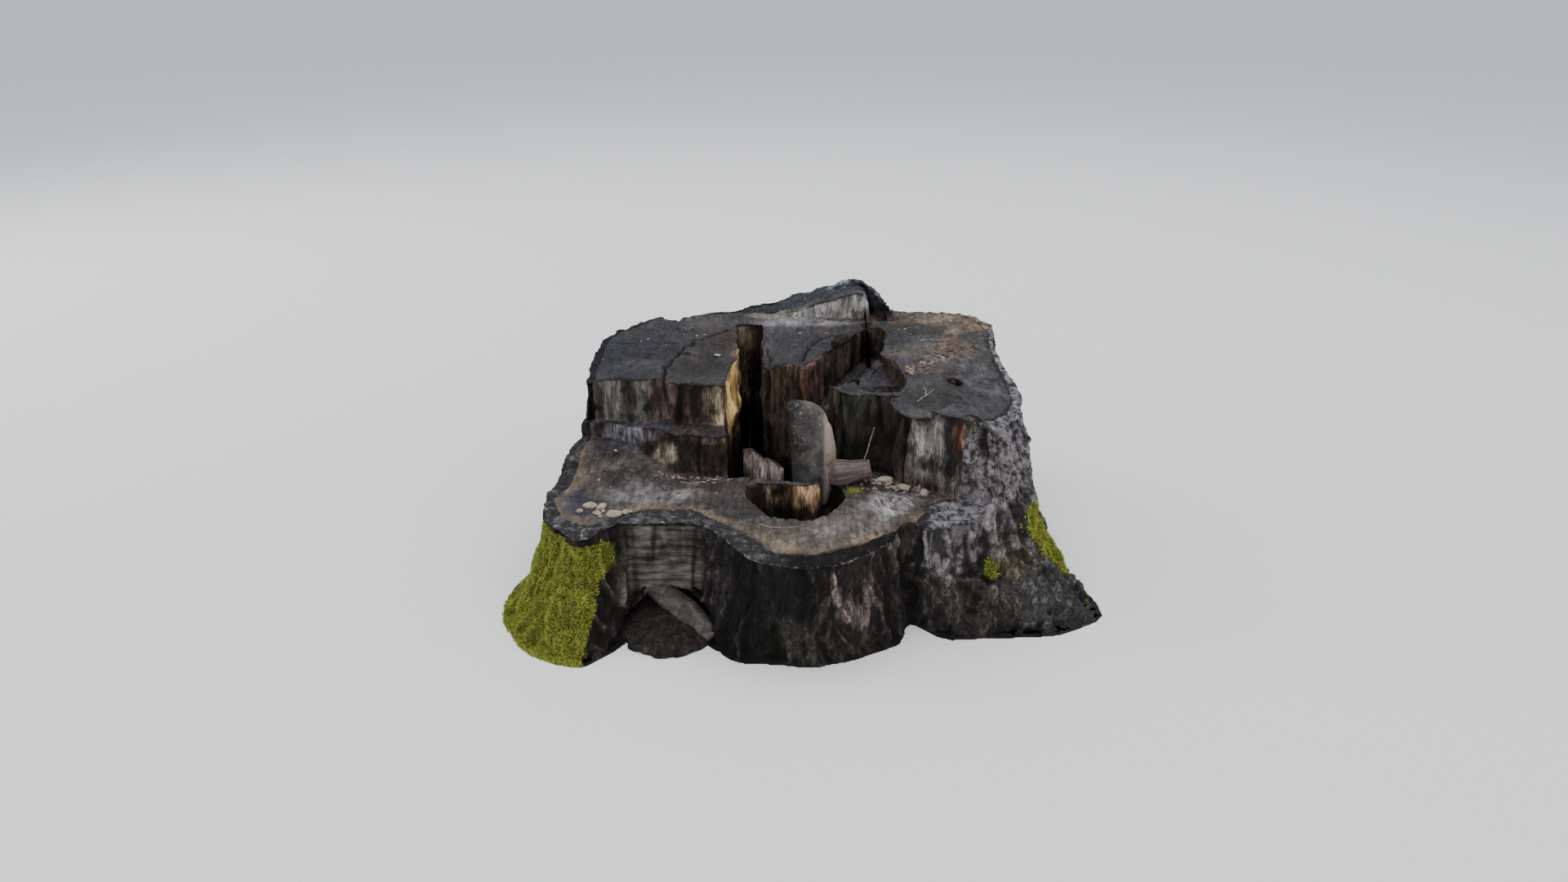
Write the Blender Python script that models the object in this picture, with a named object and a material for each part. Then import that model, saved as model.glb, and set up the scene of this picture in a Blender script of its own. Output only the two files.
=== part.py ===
"""A wide old tree stump, sawn off low in steps and rotted hollow in the middle, with a stone,
a billet of wood and a few chips lying in it. Metres, +Z up. X runs to the right and Y away from
the side where the low front step is. The origin is under the middle of the stump, on the ground."""

import math

import bmesh
import bpy
from mathutils import Matrix, Vector, noise

# Heights of the saw cuts above the ground
FRONT_STEP_Z = 0.170
MIDDLE_STEP_Z = 0.250
UPPER_CUT_Z = 0.330
PIT_FLOOR_Z = 0.075
ABOVE_ALL_Z = 0.550

# How finely the wood is cut into facets
OUTLINE_STEPS = 3
WALL_STEP = 0.0125
SURFACE_STEP = 0.026
FINE_SURFACE_STEP = 0.016
SLAB_MARGIN = 0.04
LEVEL_ANGLE = math.radians(2.5)

# Relief of bark and of torn wood
BARK_DEPTH = 0.009
BARK_PITCH = 0.050
FIBRE_DEPTH = 0.005
FIBRE_PITCH = 0.022
FRONT_WALL_LEAN = 0.11
SAW_RIPPLE = 0.0025
SEAT_GAP = 0.0003

# Outline of the bark, anticlockwise from the front: at the ground, at the front step, at the top
TRUNK = [
    ((-0.020, -0.420), (-0.020, -0.390), (-0.020, -0.360)),
    ((0.050, -0.425), (0.050, -0.395), (0.050, -0.360)),
    ((0.120, -0.400), (0.120, -0.366), (0.110, -0.335)),
    ((0.178, -0.362), (0.172, -0.322), (0.160, -0.300)),
    ((0.205, -0.310), (0.197, -0.268), (0.185, -0.250)),
    ((0.243, -0.348), (0.224, -0.296), (0.210, -0.270)),
    ((0.320, -0.352), (0.275, -0.278), (0.250, -0.235)),
    ((0.410, -0.345), (0.335, -0.258), (0.300, -0.200)),
    ((0.490, -0.320), (0.387, -0.228), (0.345, -0.172)),
    ((0.530, -0.262), (0.424, -0.175), (0.382, -0.135)),
    ((0.500, -0.185), (0.430, -0.110), (0.402, -0.085)),
    ((0.465, -0.100), (0.432, -0.040), (0.408, -0.010)),
    ((0.458, 0.000), (0.424, 0.030), (0.396, 0.060)),
    ((0.458, 0.090), (0.420, 0.110), (0.392, 0.115)),
    ((0.478, 0.190), (0.430, 0.180), (0.403, 0.175)),
    ((0.462, 0.285), (0.415, 0.260), (0.385, 0.245)),
    ((0.385, 0.350), (0.350, 0.310), (0.335, 0.290)),
    ((0.295, 0.372), (0.270, 0.328), (0.262, 0.305)),
    ((0.238, 0.385), (0.228, 0.340), (0.226, 0.315)),
    ((0.200, 0.425), (0.195, 0.382), (0.196, 0.352)),
    ((0.120, 0.452), (0.122, 0.407), (0.130, 0.377)),
    ((0.030, 0.435), (0.030, 0.392), (0.040, 0.367)),
    ((-0.050, 0.402), (-0.050, 0.367), (-0.040, 0.347)),
    ((-0.130, 0.388), (-0.120, 0.347), (-0.110, 0.331)),
    ((-0.210, 0.352), (-0.198, 0.312), (-0.188, 0.297)),
    ((-0.250, 0.335), (-0.235, 0.292), (-0.220, 0.262)),
    ((-0.312, 0.348), (-0.277, 0.312), (-0.252, 0.291)),
    ((-0.391, 0.290), (-0.335, 0.240), (-0.307, 0.212)),
    ((-0.421, 0.190), (-0.369, 0.149), (-0.341, 0.124)),
    ((-0.416, 0.090), (-0.373, 0.055), (-0.347, 0.040)),
    ((-0.412, -0.010), (-0.362, -0.035), (-0.346, -0.045)),
    ((-0.430, -0.110), (-0.384, -0.100), (-0.362, -0.095)),
    ((-0.460, -0.200), (-0.398, -0.168), (-0.366, -0.160)),
    ((-0.462, -0.290), (-0.392, -0.236), (-0.356, -0.212)),
    ((-0.422, -0.368), (-0.353, -0.300), (-0.322, -0.266)),
    ((-0.352, -0.420), (-0.315, -0.320), (-0.292, -0.282)),
    ((-0.290, -0.415), (-0.284, -0.306), (-0.264, -0.274)),
    ((-0.252, -0.372), (-0.260, -0.274), (-0.244, -0.252)),
    ((-0.225, -0.356), (-0.232, -0.278), (-0.222, -0.252)),
    ((-0.152, -0.352), (-0.152, -0.268), (-0.150, -0.242)),
    ((-0.115, -0.376), (-0.112, -0.296), (-0.110, -0.266)),
    ((-0.075, -0.410), (-0.074, -0.356), (-0.070, -0.322)),
]
FLARE_POWER = 1.8
TRUNK_LEVELS = (0, 0.012, 0.032, 0.058, 0.09, 0.13, 0.17, 0.21, 0.25, 0.29, 0.335, 0.38, 0.43)

# What the saw took off, seen from above: each line runs along the wall that it left standing
UPPER_CUT = [
    (-0.60, -0.70), (0.70, -0.70), (0.70, 0.60), (0.262, 0.60), (0.262, 0.332), (0.222, 0.286),
    (0.180, 0.268), (0.168, 0.251), (0.100, 0.244), (0.022, 0.248), (0.016, 0.264),
    (-0.050, 0.298), (-0.125, 0.302), (-0.160, 0.345), (-0.200, 0.60), (-0.60, 0.60),
]
CREST_CUT = [(-0.60, 0.19), (0.60, 0.19), (0.60, 0.60), (-0.60, 0.60)]
MIDDLE_CUT = [
    (-0.60, -0.70), (-0.085, -0.70), (-0.060, -0.078), (-0.100, -0.080), (-0.150, -0.068),
    (-0.215, -0.056), (-0.265, -0.061), (-0.310, -0.056), (-0.345, -0.050), (-0.60, -0.045),
]
FRONT_CUT = [
    (-0.60, -0.70), (0.430, -0.70), (0.410, -0.330), (0.358, -0.224), (0.330, -0.199),
    (0.304, -0.186), (0.278, -0.172), (0.252, -0.157), (0.234, -0.145), (0.214, -0.148),
    (0.195, -0.130), (0.184, -0.112), (0.176, -0.088), (0.150, -0.080), (0.110, -0.074),
    (0.085, -0.080), (0.050, -0.090), (-0.080, -0.080), (-0.110, -0.100), (-0.185, -0.088),
    (-0.230, -0.072), (-0.310, -0.054), (-0.60, -0.040),
]

# What rotted away, seen from above
PIT = [
    (-0.090, -0.112), (-0.030, -0.117), (0.030, -0.121), (0.085, -0.130), (0.112, -0.120),
    (0.108, -0.090), (0.090, -0.076), (0.072, -0.062), (0.054, -0.040), (0.036, -0.004),
    (0.000, 0.012), (-0.022, -0.004), (-0.040, -0.008), (-0.041, 0.100), (-0.043, 0.205),
    (-0.085, 0.212), (-0.084, 0.100), (-0.082, 0.030), (-0.096, -0.030), (-0.100, -0.085),
]
TRENCH = [
    (0.052, -0.080), (0.088, -0.050), (0.127, -0.008), (0.146, 0.044), (0.170, 0.078),
    (0.192, 0.160), (0.182, 0.186), (0.160, 0.186), (0.118, 0.126), (0.062, 0.044),
    (0.040, 0.000), (0.036, -0.040),
]
TRENCH_WALL = ((0.040, 0.000), (0.160, 0.190))
FRONT_HOLE = [
    (-0.060, -0.142), (-0.057, -0.185), (-0.022, -0.242), (0.033, -0.257), (0.066, -0.244),
    (0.091, -0.208), (0.097, -0.182), (0.090, -0.150), (0.072, -0.118), (0.052, -0.142),
    (0.000, -0.139),
]
BOWL = [
    (0.140, -0.050), (0.149, -0.064), (0.166, -0.068), (0.192, -0.066), (0.205, -0.052),
    (0.210, -0.022), (0.206, 0.012), (0.194, 0.046), (0.172, 0.070), (0.152, 0.066),
    (0.134, 0.030), (0.128, -0.015),
]
SCOOP = [
    (0.208, -0.050), (0.228, -0.044), (0.256, -0.062), (0.288, -0.076), (0.301, -0.086),
    (0.294, -0.103), (0.272, -0.124), (0.238, -0.148), (0.222, -0.170), (0.186, -0.160),
    (0.170, -0.110), (0.186, -0.078),
]
KNOT_HOLES = [
    # x, y, radius, depth
    (0.300, -0.020, 0.011, 0.035),
    (0.307, -0.169, 0.010, 0.030),
    (0.158, 0.204, 0.009, 0.030),
]
BARK_GAP_CENTRE = (0.122, 0.266)
BARK_GAP_RADII = (0.050, 0.076)
BARK_GAP_ARC = (-14, 108)
BARK_GAP_FLOOR_Z = 0.318

# Height of the crest at the back, as seen from the front: x, z along its bark and along its wood
CREST_BARK = [
    (-0.200, 0.328), (-0.107, 0.330), (-0.079, 0.334), (-0.038, 0.341), (0.044, 0.355),
    (0.059, 0.366), (0.095, 0.374), (0.112, 0.383), (0.143, 0.388), (0.168, 0.381),
    (0.183, 0.375), (0.196, 0.362), (0.208, 0.346), (0.220, 0.330),
]
CREST_WOOD = [
    (-0.200, 0.328), (0.016, 0.345), (0.038, 0.353), (0.076, 0.370), (0.114, 0.382),
    (0.145, 0.389), (0.160, 0.381), (0.172, 0.360),
]

# The squared notch in the front left, with the saw's strokes across it and a hollow below it
NOTCH_X = (-0.250, -0.132)
NOTCH_FACE_Y = -0.284
NOTCH_FOOT_Z = 0.050
STROKES = 7
STROKE_PITCH = 0.0155
STROKE_HEIGHT = 0.005
STROKE_DEPTH = 0.005
UNDERCUT_CENTRE = (-0.185, -0.335, 0.012)
UNDERCUT_RADII = (0.068, 0.078, 0.052)

# The thin upright leaf of wood that still stands in the pit: x, y of its middle line, and its top
LEAF_LINE = [(-0.076, -0.066, 0.204), (-0.056, -0.070, 0.203), (-0.036, -0.072, 0.190),
             (-0.014, -0.074, 0.181), (0.004, -0.078, 0.168)]
LEAF_THICKNESS = 0.018

# The stone: height above its foot, middle across, half its width
STONE_FOOT = (0.051, -0.087)
STONE_RINGS = [
    (0.000, -0.002, 0.022), (0.012, -0.001, 0.030), (0.045, 0.001, 0.036), (0.085, 0.003, 0.040),
    (0.125, 0.000, 0.040), (0.160, -0.004, 0.037), (0.182, -0.008, 0.031), (0.196, -0.011, 0.021),
    (0.203, -0.013, 0.009),
]
STONE_THICKNESS_RATIO = 0.62
STONE_AWAY_FROM_WALL = (-1, -1)
STONE_SIDES = 16
BILLET_START = (0.072, -0.142, 0.184)
BILLET_END = (0.146, -0.136, 0.196)
BILLET_RADII = (0.016, 0.025, 0.024, 0.020, 0.018, 0.017)
BILLET_SIDES = 12

# Chips of wood: x, y, length, width, height, turn in degrees
CHIPS = [
    (-0.316, -0.222, 0.024, 0.015, 0.009, 20),
    (-0.296, -0.226, 0.020, 0.014, 0.008, 75),
    (-0.300, -0.248, 0.016, 0.012, 0.007, 140),
    (-0.272, -0.252, 0.026, 0.018, 0.010, 10),
    (-0.330, -0.240, 0.013, 0.010, 0.006, 50),
    (0.170, -0.136, 0.030, 0.014, 0.012, 15),
    (0.200, -0.162, 0.022, 0.012, 0.011, 160),
    (0.232, -0.186, 0.018, 0.013, 0.012, 60),
]

WET_WOOD = (0.115, 0.085, 0.062, 1)
STONE_GREY = (0.235, 0.215, 0.185, 1)
BILLET_BROWN = (0.250, 0.180, 0.150, 1)
CHIP_CREAM = (0.420, 0.350, 0.240, 1)


def clear_scene():
    for obj in list(bpy.data.objects):
        bpy.data.objects.remove(obj)


def material(name, colour, roughness):
    made = bpy.data.materials.new(name)
    made.use_nodes = True
    shader = made.node_tree.nodes["Principled BSDF"]
    shader.inputs["Base Color"].default_value = colour
    shader.inputs["Roughness"].default_value = roughness
    shader.inputs["Metallic"].default_value = 0
    return made


def ease(low, high, value):
    """0 below low, 1 above high, and smooth between them."""
    t = min(1.0, max(0.0, (value - low) / (high - low)))
    return t * t * (3 - 2 * t)


def add_object(name, shape):
    mesh = bpy.data.meshes.new(name)
    bmesh.ops.recalc_face_normals(shape, faces=shape.faces)
    shape.to_mesh(mesh)
    shape.free()
    obj = bpy.data.objects.new(name, mesh)
    bpy.context.collection.objects.link(obj)
    return obj


def loft(name, rings):
    """A closed body through rings of equally many points, with a flat face on its first and last ring."""
    shape = bmesh.new()
    rows = [[shape.verts.new(p) for p in ring] for ring in rings]
    count = len(rows[0])
    for low, high in zip(rows, rows[1:]):
        for i in range(count):
            j = (i + 1) % count
            shape.faces.new((low[i], low[j], high[j], high[i]))
    shape.faces.new(rows[0][::-1])
    shape.faces.new(rows[-1])
    return add_object(name, shape)


def boolean(body, tool, operation):
    """Cuts, joins or crosses body with tool, which is used up, and leaves body in triangles."""
    change = body.modifiers.new(operation, "BOOLEAN")
    change.operation = operation
    change.solver = "EXACT"
    change.object = tool
    bpy.context.view_layer.objects.active = body
    bpy.ops.object.modifier_apply(modifier=change.name)
    bpy.data.objects.remove(tool)
    shape = bmesh.new()
    shape.from_mesh(body.data)
    bmesh.ops.triangulate(shape, faces=shape.faces)
    shape.to_mesh(body.data)
    shape.free()


def join_level_faces(body):
    """Makes larger triangles where neighbours lie nearly in one plane."""
    shape = bmesh.new()
    shape.from_mesh(body.data)
    bmesh.ops.dissolve_limit(
        shape, angle_limit=LEVEL_ANGLE, verts=shape.verts, edges=shape.edges
    )
    bmesh.ops.triangulate(shape, faces=shape.faces)
    shape.to_mesh(body.data)
    shape.free()


def smooth_point(before, start, end, after, t):
    """A point on the smooth curve from start to end, t of the way along."""
    return 0.5 * (
        2 * start
        + (end - before) * t
        + (2 * before - 5 * start + 4 * end - after) * t ** 2
        + (3 * start - before - 3 * end + after) * t ** 3
    )


def smooth_outline(points, steps):
    points = [Vector(p) for p in points]
    count = len(points)
    return [
        smooth_point(points[i - 1], points[i], points[(i + 1) % count], points[(i + 2) % count], k / steps)
        for i in range(count)
        for k in range(steps)
    ]


def outward(outline, i):
    along = outline[(i + 1) % len(outline)] - outline[i - 1]
    return Vector((along.y, -along.x)).normalized()


def trunk_body():
    """The whole trunk up to above its highest cut, spread at the foot and furrowed with bark."""
    foot, step, top = (smooth_outline([row[k] for row in TRUNK], OUTLINE_STEPS) for k in range(3))
    rings = []
    for z in TRUNK_LEVELS:
        spread = max(0.0, 1 - z / FRONT_STEP_Z) ** FLARE_POWER
        rise = max(0.0, (z - FRONT_STEP_Z) / (UPPER_CUT_Z - FRONT_STEP_Z))
        ring = []
        for i, low in enumerate(foot):
            place = step[i] + (low - step[i]) * spread + (top[i] - step[i]) * rise
            furrow = noise.fractal(Vector((place.x, place.y, z / 4)) / BARK_PITCH, 1.0, 2.0, 2)
            place = place + outward(step, i) * BARK_DEPTH * furrow
            ring.append((place.x, place.y, z))
        rings.append(ring)
    return loft("stump", rings)


def divided(points, step):
    """The outline with points added so that none are further apart than step."""
    points = [Vector(p) for p in points]
    made = []
    for a, b in zip(points, points[1:] + points[:1]):
        count = max(1, round((b - a).length / step))
        made += [a.lerp(b, k / count) for k in range(count)]
    return made


def torn_prism(name, points, low, high, depth=FIBRE_DEPTH, levels=3, lean=0):
    """An upright body over an outline, its walls fluted as torn wood is. With a lean, its foot is
    nearer to the front by that much of the height below the upper cut."""
    outline = divided(points, WALL_STEP)
    rings = []
    for level in range(levels + 1):
        z = low + (high - low) * level / levels
        ring = []
        for i, p in enumerate(outline):
            fibre = noise.fractal(Vector((p.x, p.y, z / 8)) / FIBRE_PITCH, 1.0, 2.0, 2)
            place = p + outward(outline, i) * depth * max(-1.0, min(1.0, fibre))
            ring.append((place.x, place.y - lean * (UPPER_CUT_Z - z), z))
        rings.append(ring)
    return loft(name, rings)


def slab(name, points, height, step):
    """A closed block over the box round the points, whose underside follows height(x, y)."""
    xs, ys = zip(*points)
    across, away = (math.ceil((max(v) - min(v)) / step) for v in (xs, ys))
    shape = bmesh.new()
    grid = []
    for j in range(away + 1):
        y = min(ys) + (max(ys) - min(ys)) * j / away
        row = []
        for i in range(across + 1):
            x = min(xs) + (max(xs) - min(xs)) * i / across
            row.append(shape.verts.new((x, y, height(x, y))))
        grid.append(row)
    for low, high in zip(grid, grid[1:]):
        for i in range(across):
            shape.faces.new((low[i], high[i], high[i + 1], low[i + 1]))
    edges = [e for e in shape.edges if len(e.link_faces) == 1]
    raised = bmesh.ops.extrude_edge_only(shape, edges=edges)["geom"]
    rim = [v for v in raised if isinstance(v, bmesh.types.BMVert)]
    for v in rim:
        v.co.z = ABOVE_ALL_Z + 0.1
    bmesh.ops.edgeloop_fill(shape, edges=[e for e in shape.edges if len(e.link_faces) == 1])
    return add_object(name, shape)


def saw_off(body, points, height, low, step=SURFACE_STEP, depth=FIBRE_DEPTH, lean=0):
    """Takes away all that stands above height(x, y), which is nowhere under low, within the outline."""
    tool = torn_prism("saw", points, low, ABOVE_ALL_Z, depth, lean=lean)
    reach = 0.56
    near = [(max(-reach, min(reach, x)), max(-reach, min(reach, y))) for x, y in points]
    start = (min(x for x, _ in near) - SLAB_MARGIN, min(y for _, y in near) - SLAB_MARGIN)
    end = (max(x for x, _ in near) + SLAB_MARGIN, max(y for _, y in near) + SLAB_MARGIN)
    boolean(tool, slab("sawn_face", [start, end], height, step), "INTERSECT")
    boolean(body, tool, "DIFFERENCE")


def ripple(x, y, size=SAW_RIPPLE):
    return size * noise.fractal(Vector((x, y, 0)) / 0.07, 1.0, 2.0, 3)


def profile(points, x):
    """The height at x on the broken line through the points."""
    for (x0, z0), (x1, z1) in zip(points, points[1:]):
        if x0 <= x <= x1:
            return z0 + (z1 - z0) * (x - x0) / (x1 - x0)
    return points[0][1] if x < points[0][0] else points[-1][1]


def upper_face(x, y):
    """The highest cut: it climbs a little to the back, and the right half dips to the front."""
    z = UPPER_CUT_Z + 0.008 * ease(-0.06, 0.30, y)
    z -= 0.020 * ease(0.05, 0.12, x) * (1 - ease(-0.04, 0.12, y))
    broken_corner = ease(-0.215, -0.205, x) * (1 - ease(0.02, 0.05, y)) * (1 - ease(-0.10, -0.09, x))
    z -= 0.007 * broken_corner
    edge_fall = 0.014 * ease(0.28, 0.36, abs(x)) * (1 - ease(0.0, 0.14, y))
    return z - edge_fall + ripple(x, y)


def middle_face(x, y):
    return MIDDLE_STEP_Z - 0.010 * ease(-0.07, -0.12, y) + ripple(x, y)


def front_face(x, y):
    """The low cut: it rises to the back left and to the right, where bark runs on up the side."""
    rise_left = 0.052 * ease(-0.150, -0.075, y) * ease(-0.17, -0.27, x)
    rise_right = 0.14 * ease(0.345, 0.405, x - 0.35 * (y + 0.17))
    return FRONT_STEP_Z + rise_left + rise_right - 0.008 * ease(-0.30, -0.40, y) + ripple(x, y)


def crest_face(x, y):
    """The uneven top of the bark and wood left standing at the back, highest on its right."""
    behind = ease(0.275, 0.292, y)
    lumps = 0.004 * noise.fractal(Vector((x, y, 2)) / 0.035, 1.0, 2.0, 2)
    return profile(CREST_WOOD, x) * (1 - behind) + profile(CREST_BARK, x) * behind + lumps


def pit_face(x, y):
    return PIT_FLOOR_Z + 0.025 * ease(-0.02, 0.05, x) + 0.012 * ease(0.0, 0.2, y) + ripple(x, y, 0.006)


def front_hole_face(x, y):
    return PIT_FLOOR_Z - 0.010 + 0.03 * ease(0.03, -0.06, x) + ripple(x, y, 0.006)


def trench_face(x, y):
    """Deep along its left wall, and shelving up from there to the right."""
    start, end = (Vector(p) for p in TRENCH_WALL)
    along = (end - start).normalized()
    from_wall = (x - start.x) * along.y - (y - start.y) * along.x
    return 0.225 + 0.045 * ease(0.0, 0.19, y) + 0.055 * ease(0.018, 0.055, from_wall) + ripple(x, y, 0.004)


def bowl_face(x, y):
    """A rounded hole with a steep front and a back that shelves up in two steps."""
    return 0.245 + 0.040 * ease(-0.012, 0.012, y) + 0.026 * ease(0.030, 0.070, y) + ripple(x, y, 0.004)


def scoop_face(x, y):
    return 0.312 - 0.016 * ease(-0.05, -0.11, y) + ripple(x, y, 0.002)


def ellipse(centre, radii, count):
    turns = [2 * math.pi * k / count for k in range(count)]
    return [(centre[0] + radii[0] * math.cos(t), centre[1] + radii[1] * math.sin(t)) for t in turns]


def crescent(centre, radii, arc, count):
    """A bent band between two arcs about one centre."""
    turns = [math.radians(arc[0] + (arc[1] - arc[0]) * k / count) for k in range(count + 1)]
    inner, outer = (
        [(centre[0] + r * math.cos(t), centre[1] + r * math.sin(t)) for t in turns] for r in radii
    )
    return outer + inner[::-1]


def saw_steps(body):
    saw_off(body, CREST_CUT, crest_face, 0.30, FINE_SURFACE_STEP)
    saw_off(body, UPPER_CUT, upper_face, 0.24)
    saw_off(body, MIDDLE_CUT, middle_face, 0.20)
    saw_off(body, FRONT_CUT, front_face, 0.12, lean=FRONT_WALL_LEAN)


def rot_hollows(body):
    saw_off(body, PIT, pit_face, 0.05)
    saw_off(body, FRONT_HOLE, front_hole_face, 0.04)
    saw_off(body, TRENCH, trench_face, 0.20)
    saw_off(body, BOWL, bowl_face, 0.22, FINE_SURFACE_STEP, 0.002)
    saw_off(body, SCOOP, scoop_face, 0.28, FINE_SURFACE_STEP, 0.002)
    gap = crescent(BARK_GAP_CENTRE, BARK_GAP_RADII, BARK_GAP_ARC, 12)
    boolean(body, torn_prism("gap", gap, BARK_GAP_FLOOR_Z, ABOVE_ALL_Z, 0.002, 1), "DIFFERENCE")
    for x, y, radius, depth in KNOT_HOLES:
        floor = upper_face(x, y) - depth
        knot = ellipse((x, y), (radius, radius), 8)
        boolean(body, torn_prism("knot", knot, floor, ABOVE_ALL_Z, 0.001, 1), "DIFFERENCE")


def box(name, low, high):
    corners = [(low[0], low[1]), (high[0], low[1]), (high[0], high[1]), (low[0], high[1])]
    return loft(name, [[(x, y, z) for x, y in corners] for z in (low[2], high[2])])


def notch(body):
    """The squared face between two root ridges, its saw strokes, and the hollow under it."""
    left, right = NOTCH_X
    boolean(body, box("face", (left, -0.60, NOTCH_FOOT_Z), (right, NOTCH_FACE_Y, FRONT_STEP_Z + 0.03)), "DIFFERENCE")
    for k in range(STROKES):
        z = NOTCH_FOOT_Z + STROKE_PITCH * (k + 0.6)
        reach = 0.006 * noise.noise(Vector((k * 1.7, 0.3, 0)))
        low = (left + 0.012 + reach, -0.40, z)
        high = (right - 0.016 + reach, NOTCH_FACE_Y + STROKE_DEPTH, z + STROKE_HEIGHT)
        boolean(body, box("stroke", low, high), "DIFFERENCE")
    shape = bmesh.new()
    bmesh.ops.create_icosphere(shape, subdivisions=3, radius=1)
    for v in shape.verts:
        swell = 1 + 0.12 * noise.noise(v.co * 2.3)
        v.co = Vector(c * r * swell + m for c, r, m in zip(v.co, UNDERCUT_RADII, UNDERCUT_CENTRE))
    boolean(body, add_object("undercut", shape), "DIFFERENCE")


def standing_leaf(body):
    """The thin leaf of sound wood that the rot left upright in the pit, joined to the floor."""
    shape = bmesh.new()
    half = LEAF_THICKNESS / 2
    rows = []
    for x, y, top in LEAF_LINE:
        flute = 0.004 * noise.noise(Vector((x, 0, 0)) / 0.012)
        low, high = PIT_FLOOR_Z - 0.03, top
        rows.append([
            shape.verts.new((x, y - half + flute, low)), shape.verts.new((x, y + half + flute, low)),
            shape.verts.new((x, y + half * 0.6 + flute, high)), shape.verts.new((x, y - half * 0.6 + flute, high)),
        ])
    for a, b in zip(rows, rows[1:]):
        for i in range(4):
            j = (i + 1) % 4
            shape.faces.new((a[i], a[j], b[j], b[i]))
    shape.faces.new(rows[0][::-1])
    shape.faces.new(rows[-1])
    boolean(body, add_object("leaf", shape), "UNION")


def make_stump():
    body = trunk_body()
    saw_steps(body)
    rot_hollows(body)
    notch(body)
    standing_leaf(body)
    join_level_faces(body)
    body.data.materials.clear()
    body.data.materials.append(material("wet_wood", WET_WOOD, 0.75))
    return body


def seat(piece, support, away=(0, 0)):
    """Shapes the piece to what it touches, then moves it off by the seat gap: up, and also
    sideways where it leans on a wall."""
    tool = support.copy()
    tool.data = support.data.copy()
    bpy.context.collection.objects.link(tool)
    boolean(piece, tool, "DIFFERENCE")
    piece.data.transform(Matrix.Translation((away[0] * SEAT_GAP, away[1] * SEAT_GAP, SEAT_GAP)))


def make_stone(stump):
    """A long smooth field stone, stood on end in the pit: a blunt ridge runs down its front."""
    x0, y0 = STONE_FOOT
    foot = pit_face(x0, y0) - 0.006
    rings = []
    for height, middle, half in STONE_RINGS:
        ring = []
        for k in range(STONE_SIDES):
            turn = 2 * math.pi * k / STONE_SIDES
            corner = 1 - 0.10 * math.cos(3 * (turn - math.radians(20)))
            across = half * corner * math.cos(turn)
            deep = half * corner * STONE_THICKNESS_RATIO * math.sin(turn)
            tilt = -0.06 * across * ease(0.15, 0.2, height) * 6
            ring.append((x0 + middle + across, y0 + deep, foot + height + tilt))
        rings.append(ring)
    stone = loft("upright_stone", rings)
    seat(stone, stump, STONE_AWAY_FROM_WALL)
    stone.data.materials.clear()
    stone.data.materials.append(material("grey_stone", STONE_GREY, 0.8))
    return stone


def make_billet(stump):
    """A short broken billet on the front step, thick at its torn end and sawn square at the other."""
    start, end = Vector(BILLET_START), Vector(BILLET_END)
    axis = (end - start).normalized()
    side = axis.cross(Vector((0, 0, 1))).normalized()
    up = side.cross(axis)
    rings = []
    last = len(BILLET_RADII) - 1
    for n, radius in enumerate(BILLET_RADII):
        middle = start.lerp(end, n / last)
        ring = []
        for k in range(BILLET_SIDES):
            turn = 2 * math.pi * k / BILLET_SIDES
            lump = 1 + 0.10 * noise.noise(Vector((math.cos(turn), math.sin(turn), n * 0.4)) * 1.3)
            place = middle + (side * math.cos(turn) + up * math.sin(turn)) * radius * lump
            place.z = max(place.z, front_face(place.x, place.y))
            ring.append(place)
        rings.append(ring)
    billet = loft("billet", rings)
    seat(billet, stump)
    billet.data.materials.clear()
    billet.data.materials.append(material("billet_wood", BILLET_BROWN, 0.7))
    return billet


def make_chips(stump):
    """Loose chips of pale wood, flat and many-cornered, each on the front step."""
    finish = material("chip_wood", CHIP_CREAM, 0.75)
    for n, (x, y, length, width, height, turn) in enumerate(CHIPS):
        shape = bmesh.new()
        bmesh.ops.create_icosphere(shape, subdivisions=2, radius=0.5)
        for v in shape.verts:
            swell = 1 + 0.35 * noise.noise(v.co * 2.1 + Vector((n * 3.1, 0, 0)))
            v.co = Vector((v.co.x * length, v.co.y * width, v.co.z * height)) * swell
        place = Matrix.Translation((x, y, front_face(x, y) + height * 0.36))
        bmesh.ops.transform(shape, matrix=place @ Matrix.Rotation(math.radians(turn), 4, "Z"), verts=shape.verts)
        chip = add_object(f"chip_{n + 1:02d}", shape)
        seat(chip, stump)
        chip.data.materials.clear()
        chip.data.materials.append(finish)


def centre_on_ground(objects):
    """Moves everything so that the origin is under the middle of the whole, on the ground."""
    corners = [v.co for obj in objects for v in obj.data.vertices]
    middle = [(min(c[k] for c in corners) + max(c[k] for c in corners)) / 2 for k in range(2)]
    for obj in objects:
        obj.data.transform(Matrix.Translation((-middle[0], -middle[1], 0)))


clear_scene()
stump = make_stump()
make_stone(stump)
make_billet(stump)
make_chips(stump)
centre_on_ground(list(bpy.data.objects))
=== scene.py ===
import math

import bpy
import numpy as np
from mathutils import Matrix, Vector
from mathutils.bvhtree import BVHTree
from mathutils.kdtree import KDTree


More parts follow.
